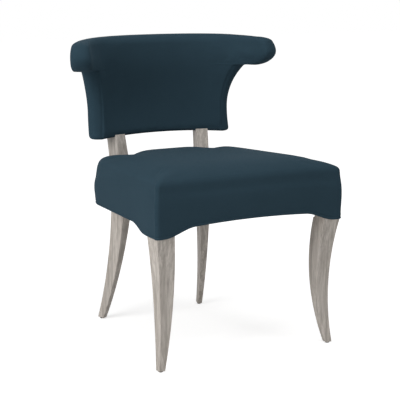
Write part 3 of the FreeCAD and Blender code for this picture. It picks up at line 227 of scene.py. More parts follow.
def close_ends(piece, count, faces_of):
    """Closes the first and the last ring with the faces that a function gives for a ring, and turns
    all faces outwards."""
    form = bmesh.new()
    form.from_mesh(piece.data)
    form.verts.ensure_lookup_table()
    for first in (0, len(form.verts) - count):
        ring = [form.verts[first + i] for i in range(count)]
        for corners in faces_of(ring):
            form.faces.new(corners)
    bmesh.ops.recalc_face_normals(form, faces=form.faces)
    form.to_mesh(piece.data)
    form.free()
    piece.data.shade_smooth()


def applied(piece):
    """Bakes a piece's modifiers into its mesh."""
    graph = bpy.context.evaluated_depsgraph_get()
    baked = bpy.data.meshes.new_from_object(piece.evaluated_get(graph))
    piece.modifiers.clear()
    piece.data = baked


def swell(piece, cap, held=()):
    """Puffs a closed cover with simulated cloth and caps how far each point moves."""
    rest = [vertex.co.copy() for vertex in piece.data.vertices]
    cloth = piece.modifiers.new("Cover", "CLOTH")
    for name, value in CLOTH.items():
        setattr(cloth.settings, name, value)
    cloth.settings.effector_weights.gravity = 0
    if held:
        group = piece.vertex_groups.new(name="held")
        group.add(held, 1.0, "ADD")
        cloth.settings.vertex_group_mass = group.name
    scene = bpy.context.scene
    for number in range(1, SWELL_FRAMES + 1):
        scene.frame_set(number)
    applied(piece)
    scene.frame_set(1)
    for vertex, start in zip(piece.data.vertices, rest):
        move = vertex.co - start
        if move.length > cap:
            vertex.co = start + move * (cap / move.length)
    piece.vertex_groups.clear()
    piece.data.update()


def finer(piece):
    """One subdivision, baked in."""
    fine = piece.modifiers.new("Fine", "SUBSURF")
    fine.levels = 1
    fine.render_levels = 1
    applied(piece)
    piece.data.shade_smooth()


def eased(step):
    """Smooth step from 0 to 1."""
    step = min(max(step, 0.0), 1.0)
    return step * step * (3 - 2 * step)


def spread(start, end, count):
    """Even steps from start towards end, without the end."""
    return [start + (end - start) * step / count for step in range(count)]


# Seat

# Points along half of the plan
FRONT_STEPS = 30
FRONT_CORNER_STEPS = 6
SIDE_STEPS = 40
REAR_CORNER_STEPS = 18
REAR_STEPS = 12
LEAST_REAR_CORNER = 0.02

# Places ahead of this depth belong to the front hem
FRONT_ZONE = 0.02

# The skirt stands out most beside the middle of a front leg, and on the front from near its inner edge
LEG_MIDDLE = 0.028
LEG_SPREAD = 0.045
LEG_INNER = 0.23
LEG_RAMP = 0.05
FRONT_DRAPE = 0.68

# The roll grows taller over this stretch of the sides. Its foot leans in by a share of that growth, from a
# share of the side's height upwards
REAR_ROLL_START = 0.22
REAR_ROLL_RUN = 0.2
REAR_LEAN = 0.15
LEAN_START = 0.5

# Rings of the underside by inset, and of the lining by share of the height from the hem to the ceiling
UNDERSIDE_INSETS = (0.19, 0.06)
LINING_PARTS = (0.75, 0.4, 0.12, 0.0)
LINING_LIFT = 0.001

# Rounded lip of the hem, then rings of the turned hem by inset beside the draw-in, share of the hem band
# and share of the drape
LIP_INSET = 0.0015
LIP_RISE = 0.0012
HEM_RINGS = ((-0.0006, 0.5, 1.0), (-0.0002, 0.88, 0.98), (0.0012, 1.0, 0.96), (-0.0006, 1.25, 0.95))

# Rings of the side by share of its height, which is widest at the belly, with insets that are never nothing
SIDE_PARTS = (0.12, 0.2, 0.3, 0.4, 0.5, 0.6, 0.7, 0.8, 0.88, 0.95)
SIDE_BELLY = 0.55
SIDE_TOP_INSET = 0.0016
LEAST_INSET = 0.00005

# Rings of the rolled edge by inset and share of the roll, then of the crown by share of its plan
SEAT_ROLL = ((0.0020, 0.0), (0.0032, 0.3), (0.0056, 0.58), (0.0095, 0.79), (0.0145, 0.92), (0.021, 1.0))
RIM_INSET = SEAT_ROLL[-1][0]
SEAT_TOP = (0.955, 0.9, 0.84, 0.77, 0.69, 0.6, 0.5, 0.4, 0.3, 0.2, 0.1)
CROWN_MIDDLE = 0.47
EDGE_FALL = 0.85

# The dip at a back post is longer than it is wide
DIP_AREA = 0.0013
DIP_SLIMNESS = 0.5

# Rings from the underside to the upper side that the swell leaves in place
HELD_ROWS = 20


def seat_outline(seat, inset):
    """Plan of the seat drawn in by an inset, anticlockwise from the middle of the front."""
    taper = seat.taper
    front = -seat.overhang + inset
    rear = -seat.overhang + seat.depth - inset
    lining = seat.draw_in + seat.skirt
    soften = eased((inset - lining) / (RIM_INSET - lining))
    corner = seat.front_corner + (seat.crown_corner - seat.front_corner) * soften
    radius = max(seat.rear_corner - inset, LEAST_REAR_CORNER)
    wide = seat.half_width - inset / math.cos(taper) - (front + seat.overhang) * math.tan(taper)
    trim = corner * math.tan(math.pi / 4 - taper / 2)
    along = Vector((-math.sin(taper), math.cos(taper)))
    tip = Vector((wide, front))
    front_end = tip - Vector((trim, 0))
    side_start = tip + along * trim
    hub = front_end + Vector((0, corner))
    rear_hub_y = rear - radius
    reach = (rear_hub_y + radius * math.sin(taper) - side_start.y) / math.cos(taper)
    side_end = side_start + along * reach
    rear_hub = side_end - radius * Vector((math.cos(taper), math.sin(taper)))
    half = [Vector((x, front)) for x in spread(0.0, front_end.x, FRONT_STEPS)]
    for turn in spread(-math.pi / 2, taper, FRONT_CORNER_STEPS):
        half.append(hub + corner * Vector((math.cos(turn), math.sin(turn))))
    half += [side_start + (side_end - side_start) * step for step in spread(0.0, 1.0, SIDE_STEPS)]
    for turn in spread(taper, math.pi / 2, REAR_CORNER_STEPS):
        half.append(rear_hub + radius * Vector((math.cos(turn), math.sin(turn))))
    half += [Vector((x, rear)) for x in spread(rear_hub.x, 0.0, REAR_STEPS)]
    half.append(Vector((0.0, rear)))
    return half + [Vector((-point.x, point.y)) for point in reversed(half[1:-1])]


def hem_at(seat, point):
    """Height of the scalloped hem at a place of the seat outline."""
    if point.y >= FRONT_ZONE:
        side_rise = seat.side_hem_step * eased((point.y - seat.side_hem_start) / seat.side_hem_sweep)
        return seat.hem_height + side_rise
    inner = seat.hem_middle - seat.hem_sweep / 2
    outer = seat.hem_middle + seat.hem_sweep / 2
    rise = seat.hem_step * eased((outer - abs(point.x)) / seat.hem_sweep)
    arch = seat.hem_arch * max(1 - (point.x / inner) ** 2, 0.0)
    return seat.hem_height + rise + arch


def drape_at(seat, point):
    """How far the skirt stands out over a front leg at a place of the seat outline."""
    if point.y > 0.0:
        return seat.drape * math.exp(-((point.y - LEG_MIDDLE) / LEG_SPREAD) ** 2)
    return seat.drape * FRONT_DRAPE * eased((abs(point.x) - LEG_INNER) / LEG_RAMP)


def edge_at(seat, point):
    """Height of the foot of the rolled edge, which falls towards the rear."""
    return seat.edge_height - math.tan(seat.rake) * (point.y + seat.overhang) * EDGE_FALL


def dome_at(seat, point):
    """Rise of the crown at a place of the seat top."""
    wide = seat.half_width - (point.y + seat.overhang) * math.tan(seat.taper)
    rear = seat.depth - seat.overhang - point.y
    rooms = (wide - abs(point.x), point.y + seat.overhang, rear)
    steps = [min(max(room, 0.0) / seat.dome_run, 1.0) for room in rooms]
    return seat.dome * math.prod(1 - (1 - step) ** 2 for step in steps)


def dip_at(seat, point):
    """How far the seat top is drawn down beside a back post."""
    away = (abs(point.x) - seat.post_x) ** 2 + ((point.y - seat.post_y) * DIP_SLIMNESS) ** 2
    return seat.post_dip * math.exp(-away / DIP_AREA)


def seat_rows(seat):
    """Rings of the seat from the underside over the hem and the side up to the crown."""
    edge_plan = seat_outline(seat, 0.0)
    low = [hem_at(seat, point) for point in edge_plan]
    drape = [drape_at(seat, point) for point in edge_plan]
    drop = [seat.rear_roll * eased((point.y - REAR_ROLL_START) / REAR_ROLL_RUN) for point in edge_plan]
    lining = seat.draw_in + seat.skirt
    rows = []

    def ring(inset, height_of, out=0.0, inward=0.0):
        """Adds a ring that stands out over the front legs and leans in towards the rear."""
        row = []
        for i, point in enumerate(seat_outline(seat, inset)):
            outwards = (edge_plan[i] - point).normalized()
            place = point + outwards * (drape[i] * out - drop[i] * inward)
            row.append(Vector((place.x, place.y - seat.origin_back, height_of(i, point))))
        rows.append(row)

    def side_height(i, point, part):
        return low[i] + (edge_at(seat, point) - drop[i] - low[i]) * part

    def roll_height(i, point, rise):
        foot = edge_at(seat, point) - drop[i]
        return foot + (seat.roll + drop[i]) * rise + dome_at(seat, point) - dip_at(seat, point) * rise

    for inset in (*UNDERSIDE_INSETS, lining):
        ring(inset, lambda i, point: seat.ceiling)
    for part in LINING_PARTS:
        ring(lining, lambda i, point: low[i] + (seat.ceiling - low[i]) * part + LINING_LIFT)
    ring(seat.draw_in + LIP_INSET, lambda i, point: low[i], 1.0)
    ring(seat.draw_in, lambda i, point: low[i] + LIP_RISE, 1.0)
    for inset, rise, out in HEM_RINGS:
        ring(seat.draw_in + inset, lambda i, point: low[i] + seat.hem_band * rise, out)
    flare = HEM_RINGS[-1][-1]
    for part in SIDE_PARTS:
        inset = max(seat.draw_in * (1 - eased(part / SIDE_BELLY)), LEAST_INSET)
        inset += SIDE_TOP_INSET * eased((part - SIDE_BELLY) / (1 - SIDE_BELLY))
        inward = REAR_LEAN * max((part - LEAN_START) / (1 - LEAN_START), 0.0) ** 2
        ring(inset, lambda i, point: side_height(i, point, part), flare * (1 - part) ** 2, inward)
    for inset, rise in SEAT_ROLL:
        inward = REAR_LEAN * (1 - inset / RIM_INSET)
        ring(inset, lambda i, point: roll_height(i, point, rise), inward=inward)
    middle = Vector((0.0, seat.depth * CROWN_MIDDLE - seat.overhang))
    rim = seat_outline(seat, RIM_INSET)
    for part in SEAT_TOP:
        row = []
        for place in rim:
            point = middle + (place - middle) * part
            height = edge_at(seat, point) + seat.roll + dome_at(seat, point) - dip_at(seat, point)
            row.append(Vector((point.x, point.y - seat.origin_back, height)))
        rows.append(row)
    return rows


def seat_end_faces(ring):
    """Strips from side to side across a ring of the seat."""
    count = len(ring)
    for i in range(count // 2):
        corners = (ring[i], ring[i + 1], ring[(count - i - 1) % count], ring[(count - i) % count])
        unique = list(dict.fromkeys(corners))
        if len(unique) > 2:
            yield unique


class SIDECHAIR_OT_seat(Operator):
    """Builds the covered seat with its crown and scalloped hem"""
    bl_idname = "sidechair.seat"
    bl_label = "Seat"

    def execute(self, context):
        seat = context.scene.sidechair_seat
        piece, count = rows_mesh("seat_cover", seat_rows(seat))
        close_ends(piece, count, seat_end_faces)
        swell(piece, seat.swell, held=list(range(HELD_ROWS * count)))
        finer(piece)
        dress(piece, fabric_material())
        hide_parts("seat_upholstery")
        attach(piece, BODY)
        return {"FINISHED"}


# Back

# The plan curve stops changing softly under the crest, and the turn moves out over a stretch round it
PLAN_SOFTNESS = 0.014
TURN_START = 0.035
TURN_RUN = 0.09
TURN_POWER = 4

# Rows of the panel, then of the crest by angle round its rounded ends in degrees
PANEL_ROWS = 26
PANEL_GAP = 0.001
CREST_ROWS = 23
CREST_FROM = -80
CREST_SWEEP = 110
END_FULLNESS = 0.62

# Columns of the front and of a band, with the lines beside the seams as shares of the half widths
FRONT_COLUMNS = 60
BAND_COLUMNS = 9
REAR_START = FRONT_COLUMNS + BAND_COLUMNS
COLUMN_CROWDING = 0.35
SEAM_FRONT = 0.988
SEAM_BAND = 0.9
BAND_FULLNESS = 2.4
UNSEWN_ROWS = 2

# Rounded lower edge: angles in degrees, shares by which the ends and the bands draw in, fade of the arch
LOWER_TURN = (0, 30, 60)
LOWER_END_DRAW = 0.4
LOWER_BAND_DRAW = 0.6
ARCH_FADE = 0.08

# Rounded top: angles in degrees, shares of its rise and of the draw-in of the ends, and the fall of the
# top line towards the ends
TOP_TURN = (15, 30, 45, 60, 75, 90)
TOP_RISE = 0.999
TOP_END_DRAW = 0.9
CREST_FALL = 0.15
TOP_FALL = 0.42
TOP_FALL_POWER = 5
END_DROP_POWER = 6


def crest_foot(back):
    """Height of the underside of the crest."""
    return back.crest_top - back.crest_arch - back.end_height


def back_plan(back, height):
    """Plan of the padding at a height: a function from a place aside to its point and outward direction."""
    low, mid, top = back.bottom, back.middle_height, crest_foot(back)
    rise = top - PLAN_SOFTNESS * math.log1p(math.exp((top - height) / PLAN_SOFTNESS))
    at_low = (rise - mid) * (rise - top) / ((low - mid) * (low - top))
    at_mid = (rise - low) * (rise - top) / ((mid - low) * (mid - top))
    at_top = (rise - low) * (rise - mid) / ((top - low) * (top - mid))
    place = back.bottom_set * at_low + back.middle_set * at_mid + back.crest_set * at_top
    part = (rise - low) / (top - low)
    radius = back.bottom_radius + (back.crest_radius - back.bottom_radius) * part
    end_radius = radius + (back.turn_radius - radius) * part ** TURN_POWER
    blend = eased((height - top + TURN_START) / TURN_RUN)
    reach_out = back.half_width + back.flare * part ** 2
    bend = back.turn * (reach_out + (back.crest_half_width - reach_out) * blend)
    turn = math.asin(bend / radius)
    hub = Vector((0.0, place - radius))
    end_hub = hub + Vector((math.sin(turn), math.cos(turn))) * (radius - end_radius)

    def at(aside):
        flip = -1.0 if aside < 0 else 1.0
        aside = abs(aside)
        middle, reach = (hub, radius) if aside <= bend else (end_hub, end_radius)
        lean = math.asin(min((aside - middle.x) / reach, 1.0))
        spot = middle + reach * Vector((math.sin(lean), math.cos(lean)))
        return Vector((flip * spot.x, spot.y)), Vector((flip * math.sin(lean), math.cos(lean)))

    return at


def back_stations(back):
    """Rows of the panel and the crest from below: height, half width and swell of the ends."""
    foot = crest_foot(back)
    start = back.bottom + back.lower_edge
    rows = []
    for step in range(PANEL_ROWS):
        height = start + (foot - PANEL_GAP - back.bottom - back.lower_edge) * (step / (PANEL_ROWS - 1))
        flare = max(height - back.waist_height, 0.0) / (foot - back.waist_height)
        rows.append((height, back.half_width + back.flare * flare ** 2, back.edge_round))
    for step in range(CREST_ROWS):
        lean = math.radians(CREST_FROM + CREST_SWEEP * step / (CREST_ROWS - 1))
        height = foot + back.end_height / 2 * (1 + math.sin(lean))
        reach = back.end_length * math.cos(lean) ** END_FULLNESS
        rows.append((height, back.crest_half_width - back.end_length + reach, back.end_round))
    return rows


def front_places():
    """Columns across the front from -1 to 1, crowded towards the ends, with one beside each seam."""
    even = [2 * i / FRONT_COLUMNS - 1 for i in range(FRONT_COLUMNS + 1)]
    places = [math.sin(math.pi / 2 * part) * COLUMN_CROWDING + part * (1 - COLUMN_CROWDING)
              for part in even]
    places[1], places[-2] = -SEAM_FRONT, SEAM_FRONT
    return places


def band_places():
    """Columns across a band from front to rear, with one beside each seam."""
    places = [2 * i / BAND_COLUMNS - 1 for i in range(1, BAND_COLUMNS)]
    places[0], places[-1] = -SEAM_BAND, SEAM_BAND
    return places


def back_loop(back, height, half_width, thin, cap, lift_of, lean=0.0, roll=0.0):
    """Closed plan section of the padding: front, right end, rear and left end."""
    at = back_plan(back, height)
    half = back.half_thickness - thin

    def spot(aside, offset, along=0.0):
        place, out = at(aside)
        flip = 1.0 if aside > 0 else -1.0
        along += lean * offset / back.half_thickness * (aside / half_width) ** 2
        offset *= 1 + roll / back.half_thickness * (aside / half_width) ** 2
        place = place + out * offset + Vector((out.y, -out.x)) * flip * along
        return Vector((place.x, place.y, height + lift_of(aside / half_width)))

    def band(side):
        return [spot(side * half_width, side * half * part, cap * (1 - abs(part) ** BAND_FULLNESS))
                for part in band_places()]

    front = [spot(half_width * part, -half) for part in front_places()]
    rear = [spot(-half_width * part, half) for part in front_places()]
    return front + band(1) + rear + band(-1)


def back_rows(back, origin_back):
    """Plan sections of the padded back from its rounded lower edge to the rounded top of the crest."""
    stations = back_stations(back)
    foot = crest_foot(back)
    low_height, low_width, low_cap = stations[0]
    high_height, high_width, high_cap = stations[-1]
    crest_rise = back.crest_top - back.edge - high_height
    rows = []

    def arch_low(part):
        return lambda aside: back.arch * part * (1 - aside * aside)

    def arch_high(part):
        return lambda aside: (crest_rise * part * (1 - CREST_FALL * aside * aside)
                              - back.end_drop * (1 - part) * aside ** END_DROP_POWER)

    def top_line(rise):
        crest = arch_high(1.0)
        return lambda aside: crest(aside) - rise * TOP_FALL * abs(aside) ** TOP_FALL_POWER

    for degrees in LOWER_TURN:
        thin = back.lower_edge * (1 - math.sin(math.radians(degrees)))
        height = low_height - back.lower_edge * math.cos(math.radians(degrees))
        rows.append(back_loop(back, height, low_width - thin * LOWER_END_DRAW, thin,
                              low_cap - thin * LOWER_BAND_DRAW, arch_low(1.0)))
    for height, half_width, cap in stations:
        lean = roll = 0.0
        if height < foot:
            lean = back.band_lean * (height - low_height) / (foot - low_height)
            lift = arch_low(max(1 - (height - low_height) / ARCH_FADE, 0.0))
        else:
            part = (height - foot) / (high_height - foot)
            roll = back.roll * math.sin(math.pi * part)
            lift = arch_high(part)
        rows.append(back_loop(back, height, half_width, 0.0, cap, lift, lean, roll))
    for degrees in TOP_TURN:
        rise = back.edge * math.sin(math.radians(degrees))
        thin = back.edge * (1 - math.cos(math.radians(degrees)))
        rows.append(back_loop(back, high_height + rise * TOP_RISE, high_width - thin * TOP_END_DRAW,
                              thin, high_cap, top_line(rise)))
    return [[Vector((point.x, point.y - origin_back, point.z)) for point in row] for row in rows]


def back_end_faces(ring):
    """Strips from front to rear across a ring of the back, with one face for each band."""
    last = REAR_START + FRONT_COLUMNS
    for i in range(FRONT_COLUMNS):
        yield ring[i], ring[i + 1], ring[last - i - 1], ring[last - i]
    yield ring[FRONT_COLUMNS:REAR_START + 1]
    yield ring[last:] + [ring[0]]


def sew_bands(piece, depth, count):
    """Draws in the sewn lines between the front, the bands and the rear."""
    normals = [vertex.normal.copy() for vertex in piece.data.vertices]
    row_count = len(normals) // count
    for column in (0, FRONT_COLUMNS, REAR_START, REAR_START + FRONT_COLUMNS):
        for row in range(UNSEWN_ROWS, row_count - UNSEWN_ROWS):
            number = row * count + column
            piece.data.vertices[number].co -= normals[number] * depth
    piece.data.update()


class SIDECHAIR_OT_back(Operator):
    """Builds the padded back with its boxed edge and its forward-turning crest"""
    bl_idname = "sidechair.back"
    bl_label = "Back"

    def execute(self, context):
        back = context.scene.sidechair_back
        piece, count = rows_mesh("back_cover", back_rows(back, context.scene.sidechair_seat.origin_back))
        close_ends(piece, count, back_end_faces)
        swell(piece, back.swell)
        sew_bands(piece, back.seam_depth, count)
        finer(piece)
        dress(piece, fabric_material())
        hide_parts("inside_back_upholstery", "outside_back_upholstery")
        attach(piece, BODY)
        return {"FINISHED"}


# Materials

# Shares of the weave and of the broad clouding in the tint of the cloth
WEAVE_SHARE = 0.22
CLOUD_SHARE = 0.5
NOISE_MIDDLE = 0.5

# Shares of grain and lime in the tint of the oak, depth of its rays and pores, and its roughness
GRAIN_SHARE = 0.62
LIME_SHARE = 0.5
RAY_DEPTH = 0.42
PORE_DEPTH = 0.4
OAK_ROUGHNESS = 0.52
GRAIN_ROUGHNESS = 0.2

# Tint of the dark grain of a hidden piece, as a share of its colour
DARK_GRAIN = 0.65


def new_material(name):
    """A node material with its tree and its shader."""
    made = bpy.data.materials.new(name)
    made.use_nodes = True
    tree = made.node_tree
    return made, tree, tree.nodes["Principled BSDF"]


def set_inputs(made, values):
    """Sets constant values on a node's sockets by name."""
    for name, value in values.items():
        made.inputs[name].default_value = value


def node(tree, kind, **values):
    """Adds a node and sets its properties and inputs by name."""
    made = tree.nodes.new(kind)
    for name, value in values.items():
        if name in made.inputs:
            made.inputs[name].default_value = value
        else:
            setattr(made, name, value)
    return made


def maths(tree, operation, first, second=None):
    """A maths node whose inputs are sockets or numbers."""
    made = node(tree, "ShaderNodeMath", operation=operation)
    for number, value in enumerate((first, second)):
        if value is None:
            continue
        if isinstance(value, (int, float)):
            made.inputs[number].default_value = value
        else:
            tree.links.new(value, made.inputs[number])
    return made.outputs[0]


def scaled(tree, socket, factor, offset):
    """A socket times a factor plus an offset."""
    return maths(tree, "ADD", maths(tree, "MULTIPLY", socket, factor), offset)


def blended(tree, factor, first, second):
    """Mixes two colours by a factor socket."""
    mix = node(tree, "ShaderNodeMix", data_type="RGBA")
    tree.links.new(factor, mix.inputs["Factor"])
    for name, value in (("A", first), ("B", second)):
        socket = next(s for s in mix.inputs if s.name == name and s.type == "RGBA")
        socket.default_value = (*value, 1.0)
    return next(s for s in mix.outputs if s.type == "RGBA")


def raised(tree, shader, height, strength, distance):
    """Lets a height socket raise the surface."""
    bump = node(tree, "ShaderNodeBump", Strength=strength, Distance=distance)
    tree.links.new(height, bump.inputs["Height"])
    tree.links.new(bump.outputs[0], shader.inputs["Normal"])


def stretched_noise(tree, scale, **values):
    """Noise in the piece's own place, stretched by a scale per axis."""
    stretch = node(tree, "ShaderNodeMapping", Scale=scale)
    tree.links.new(node(tree, "ShaderNodeTexCoord").outputs["Object"], stretch.inputs["Vector"])
    noise = node(tree, "ShaderNodeTexNoise", **values)
    tree.links.new(stretch.outputs[0], noise.inputs["Vector"])
    return noise.outputs[0]


def dress(piece, made):
    """Gives a piece one material."""
    piece.data.materials.clear()
    piece.data.materials.append(made)


def fabric_material():
    """Plain woven upholstery cloth with fine threads, slubs and a soft sheen."""
    known = bpy.data.materials.get("teal_upholstery_cloth")
    if known:
        return known
    finishes = bpy.context.scene.sidechair_finishes
    made, tree, shader = new_material("teal_upholstery_cloth")
    place = node(tree, "ShaderNodeTexCoord").outputs["Object"]
    parts = node(tree, "ShaderNodeSeparateXYZ")
    tree.links.new(place, parts.inputs[0])
    pitch = 2 * math.pi / finishes.thread
    waves = [maths(tree, "SINE", maths(tree, "MULTIPLY", axis, pitch)) for axis in parts.outputs]
    weave = maths(tree, "ADD", maths(tree, "MULTIPLY", waves[0], waves[2]),
                  maths(tree, "MULTIPLY", waves[1], maths(tree, "ADD", waves[0], waves[2])))
    slub = node(tree, "ShaderNodeTexNoise", Scale=420.0, Detail=4.0, Roughness=0.65)
    cloud = node(tree, "ShaderNodeTexNoise", Scale=9.0, Detail=3.0, Roughness=0.5)
    for texture in (slub, cloud):
        tree.links.new(place, texture.inputs["Vector"])
    thread = scaled(tree, weave, WEAVE_SHARE, slub.outputs[0])
    clouding = maths(tree, "SUBTRACT", cloud.outputs[0], NOISE_MIDDLE)
    thread = maths(tree, "ADD", thread, maths(tree, "MULTIPLY", clouding, CLOUD_SHARE))
    tint = blended(tree, thread, finishes.fabric, finishes.fabric_light)
    tree.links.new(tint, shader.inputs["Base Color"])
    set_inputs(shader, {"Roughness": 0.88, "Specular IOR Level": 0.08, "Sheen Weight": 0.02,
                        "Sheen Roughness": 0.45, "Sheen Tint": (*finishes.fabric_sheen, 1.0)})
    raised(tree, shader, thread, strength=0.35, distance=0.0006)
    return made


def oak_material():
    """Grey-washed oak with long grain, pores and a limed finish."""
    finishes = bpy.context.scene.sidechair_finishes
    made, tree, shader = new_material("grey_washed_oak")

    def along_leg(across, along, detail, distortion):
        return stretched_noise(tree, (across, across, along), Scale=1.0, Detail=detail, Roughness=0.62,
                               Distortion=distortion)

    def steep(socket, low, high):
        ramp = node(tree, "ShaderNodeMapRange", interpolation_type="SMOOTHSTEP")
        set_inputs(ramp, {"From Min": low, "From Max": high})
        tree.links.new(socket, ramp.inputs["Value"])
        return ramp.outputs[0]

    grain = along_leg(across=95.0, along=3.6, detail=7.0, distortion=0.8)
    rays = steep(along_leg(across=46.0, along=13.0, detail=4.0, distortion=0.5), low=0.30, high=0.50)
    pores = steep(along_leg(across=430.0, along=26.0, detail=3.0, distortion=0.0), low=0.36, high=0.50)
    lime = along_leg(across=13.0, along=7.0, detail=2.0, distortion=0.0)
    light = maths(tree, "ADD", maths(tree, "MULTIPLY", steep(grain, low=0.34, high=0.64), GRAIN_SHARE),
                  maths(tree, "MULTIPLY", lime, LIME_SHARE))
    for marks, depth in ((rays, RAY_DEPTH), (pores, PORE_DEPTH)):
        light = maths(tree, "MULTIPLY", light, scaled(tree, marks, depth, 1 - depth))
    tint = blended(tree, light, finishes.oak_dark, finishes.oak_light)
    tree.links.new(tint, shader.inputs["Base Color"])
    tree.links.new(scaled(tree, grain, GRAIN_ROUGHNESS, OAK_ROUGHNESS), shader.inputs["Roughness"])
    raised(tree, shader, maths(tree, "ADD", pores, grain), strength=0.3, distance=0.0005)
    return made


def plain_grain_material(name, tint, scale, roughness, metallic):
    """Finish of a hidden piece: raw wood, strap, cloth, plastic or plated steel with fine variation."""
    made, tree, shader = new_material(name)
    grain = stretched_noise(tree, scale, Scale=1.0, Detail=5.0, Roughness=0.6)
    dark = tuple(part * DARK_GRAIN for part in tint)
    tree.links.new(blended(tree, grain, dark, tint), shader.inputs["Base Color"])
    set_inputs(shader, {"Roughness": roughness, "Metallic": metallic})
    raised(tree, shader, grain, strength=0.2, distance=0.0004)
    return made


# Legs and frame

LEGS = ("front_leg_left", "front_leg_right", "rear_leg_left", "rear_leg_right")
WELD_REACH = 0.00005
EASED_ABOVE = math.radians(35)
CRISP_ABOVE = math.radians(28)

# Slot of the record, name of the finish, its colour in Finishes, scale of its grain, roughness and metal
HIDDEN_FINISHES = (
    ("frame_hardwood", "frame_hardwood", "hardwood", (40.0, 40.0, 40.0), 0.7, 0.0),
    ("plywood", "shell_plywood", "plywood", (12.0, 12.0, 160.0), 0.65, 0.0),
    ("webbing", "jute_strap", "strap", (600.0, 600.0, 600.0), 0.9, 0.0),
    ("dust_cloth", "black_dust_cloth", "dust_cloth", (900.0, 900.0, 900.0), 0.95, 0.0),
    ("glide_plastic", "glide_plastic", "plastic", (300.0, 300.0, 300.0), 0.5, 0.0),
    ("steel", "plated_steel", "steel", (200.0, 200.0, 200.0), 0.35, 1.0),
)


class SIDECHAIR_OT_legs(Operator):
    """Finishes the legs in grey-washed oak and eases their edges"""
    bl_idname = "sidechair.legs"
    bl_label = "Legs"

    def execute(self, context):
        oak = oak_material()
        for name in LEGS:
            leg = frame["nodes"][name]
            dress(leg, oak)
            weld = leg.modifiers.new("Weld", "WELD")
            weld.merge_threshold = WELD_REACH
            ease = leg.modifiers.new("Eased edges", "BEVEL")
            ease.width = context.scene.sidechair_finishes.eased_edge
            ease.segments = 1
            ease.limit_method = "ANGLE"
            ease.angle_limit = EASED_ABOVE
            crisp = leg.modifiers.new("Crisp faces", "EDGE_SPLIT")
            crisp.split_angle = CRISP_ABOVE
        return {"FINISHED"}


class SIDECHAIR_OT_frame(Operator):
    """Finishes the pieces inside the upholstery"""
    bl_idname = "sidechair.frame"
    bl_label = "Frame"

    def execute(self, context):
        finishes = context.scene.sidechair_finishes
        by_slot = {}
        for slot, name, tint, scale, roughness, metallic in HIDDEN_FINISHES:
            by_slot[slot] = plain_grain_material(name, getattr(finishes, tint), scale, roughness, metallic)
        for part in frame["record"]["subparts"]:
            made = by_slot.get(part["material_slot"])
            if made:
                dress(frame["nodes"][part["node"]], made)
        return {"FINISHED"}


# Stage

WHITE = (1.0, 1.0, 1.0, 1.0)
FLOOR_TINT = (0.9, 0.9, 0.9, 1.0)
FLOOR_HALF = 14.0
SENSOR_WIDTH = 36.0

# The floor's glow grows from near the chair to far from it
FLOOR_GLOW = {"From Min": 0.7, "From Max": 2.0, "To Min": 0.64, "To Max": 0.85}

# Strength of the world for the chair, and what is added where the world itself is seen
WORLD_LIGHT = 0.22
WORLD_SEEN = 0.78

# Name, power in StageSizes, size and place of each lamp, all pointing at one place
LAMPS = (
    ("key_light", "key_power", 1.8, (-2.7, -0.6, 1.7)),
    ("fill_light", "fill_power", 2.5, (0.6, -3.2, 1.3)),
    ("top_light", "top_power", 1.8, (0.1, -0.9, 2.8)),
)
LAMP_AIM = (0.0, 0.0, 0.45)


def add_light(name, watts, size, place):
    """A large soft lamp that points at the chair."""
    lamp = bpy.data.lights.new(name, "AREA")
    lamp.energy = watts
    lamp.size = size
    light = bpy.data.objects.new(name, lamp)
    light.location = place
    light.rotation_euler = (Vector(LAMP_AIM) - Vector(place)).to_track_quat("-Z", "Y").to_euler()
    bpy.context.scene.collection.objects.link(light)


def seen_directly(tree):
    """A socket that is 1 for what is seen straight, mirrored or through, and 0 for what only lights."""
    path = node(tree, "ShaderNodeLightPath")
    return maths(tree, "MAXIMUM", path.outputs["Is Camera Ray"],
                 maths(tree, "MAXIMUM", path.outputs["Is Glossy Ray"], path.outputs["Is Transmission Ray"]))


def floor_material():
    """Pale floor that is seen white and keeps a faint shadow."""
    made, tree, shader = new_material("pale_studio_floor")
    set_inputs(shader, {"Base Color": FLOOR_TINT, "Roughness": 0.9, "Specular IOR Level": 0.0,
                        "Emission Color": WHITE})
    reach = node(tree, "ShaderNodeVectorMath", operation="LENGTH")
    tree.links.new(node(tree, "ShaderNodeTexCoord").outputs["Object"], reach.inputs[0])
    glow = node(tree, "ShaderNodeMapRange", interpolation_type="SMOOTHSTEP")
    set_inputs(glow, FLOOR_GLOW)
    tree.links.new(reach.outputs["Value"], glow.inputs["Value"])
    strength = maths(tree, "MULTIPLY", seen_directly(tree), glow.outputs[0])
    tree.links.new(strength, shader.inputs["Emission Strength"])
    return made


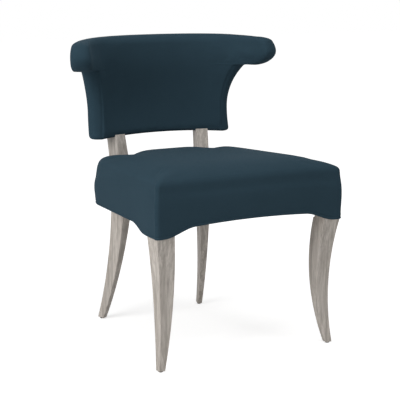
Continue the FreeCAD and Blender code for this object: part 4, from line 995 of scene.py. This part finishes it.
class SIDECHAIR_OT_stage(Operator):
    """Sets the floor, the lights, the world and the camera"""
    bl_idname = "sidechair.stage"
    bl_label = "Stage"

    def execute(self, context):
        scene = context.scene
        stage = scene.sidechair_stage
        corners = [(x * FLOOR_HALF, y * FLOOR_HALF, 0.0) for x, y in ((-1, -1), (1, -1), (1, 1), (-1, 1))]
        ground = new_piece("floor", corners, [(0, 1, 2, 3)])
        dress(ground, floor_material())
        for name, watts, size, place in LAMPS:
            add_light(name, getattr(stage, watts), size, place)
        world = bpy.data.worlds.new("studio")
        scene.world = world
        world.use_nodes = True
        tree = world.node_tree
        glow = tree.nodes["Background"]
        glow.inputs["Color"].default_value = WHITE
        tree.links.new(scaled(tree, seen_directly(tree), WORLD_SEEN, WORLD_LIGHT), glow.inputs["Strength"])
        lens = bpy.data.cameras.new("photo_camera")
        lens.lens = stage.focal
        lens.sensor_width = SENSOR_WIDTH
        camera = bpy.data.objects.new("photo_camera", lens)
        camera.location = stage.camera_place
        camera.rotation_euler = (math.pi / 2 - stage.camera_pitch, 0.0, -stage.camera_turn)
        scene.collection.objects.link(camera)
        scene.camera = camera
        scene.view_settings.view_transform = "Standard"
        return {"FINISHED"}


# Panel and start

class SIDECHAIR_PT_panel(Panel):
    """Lists the pieces of the chair"""
    bl_idname = "SIDECHAIR_PT_panel"
    bl_label = "Side chair"
    bl_space_type = "VIEW_3D"
    bl_region_type = "UI"
    bl_category = "Side chair"

    def draw(self, context):
        for piece in OPERATORS:
            self.layout.operator(piece.bl_idname)


OPERATORS = (SIDECHAIR_OT_stage, SIDECHAIR_OT_legs, SIDECHAIR_OT_frame, SIDECHAIR_OT_seat, SIDECHAIR_OT_back)
GROUPS = (("sidechair_seat", SeatSizes), ("sidechair_back", BackSizes), ("sidechair_finishes", Finishes),
          ("sidechair_stage", StageSizes))


def register():
    """Adds the groups of sizes to the scene, then the operators and the panel."""
    for name, group in GROUPS:
        bpy.utils.register_class(group)
        setattr(bpy.types.Scene, name, PointerProperty(type=group))
    for made in (*OPERATORS, SIDECHAIR_PT_panel):
        bpy.utils.register_class(made)


def unregister():
    """Takes everything out again in the opposite order."""
    for made in (SIDECHAIR_PT_panel, *reversed(OPERATORS)):
        bpy.utils.unregister_class(made)
    for name, group in reversed(GROUPS):
        delattr(bpy.types.Scene, name)
        bpy.utils.unregister_class(group)


def main():
    """Dresses the chair in the studio."""
    register()
    bpy.ops.sidechair.stage()
    bpy.ops.sidechair.legs()
    bpy.ops.sidechair.frame()
    bpy.ops.sidechair.seat()
    bpy.ops.sidechair.back()


if __name__ == "__main__":
    main()
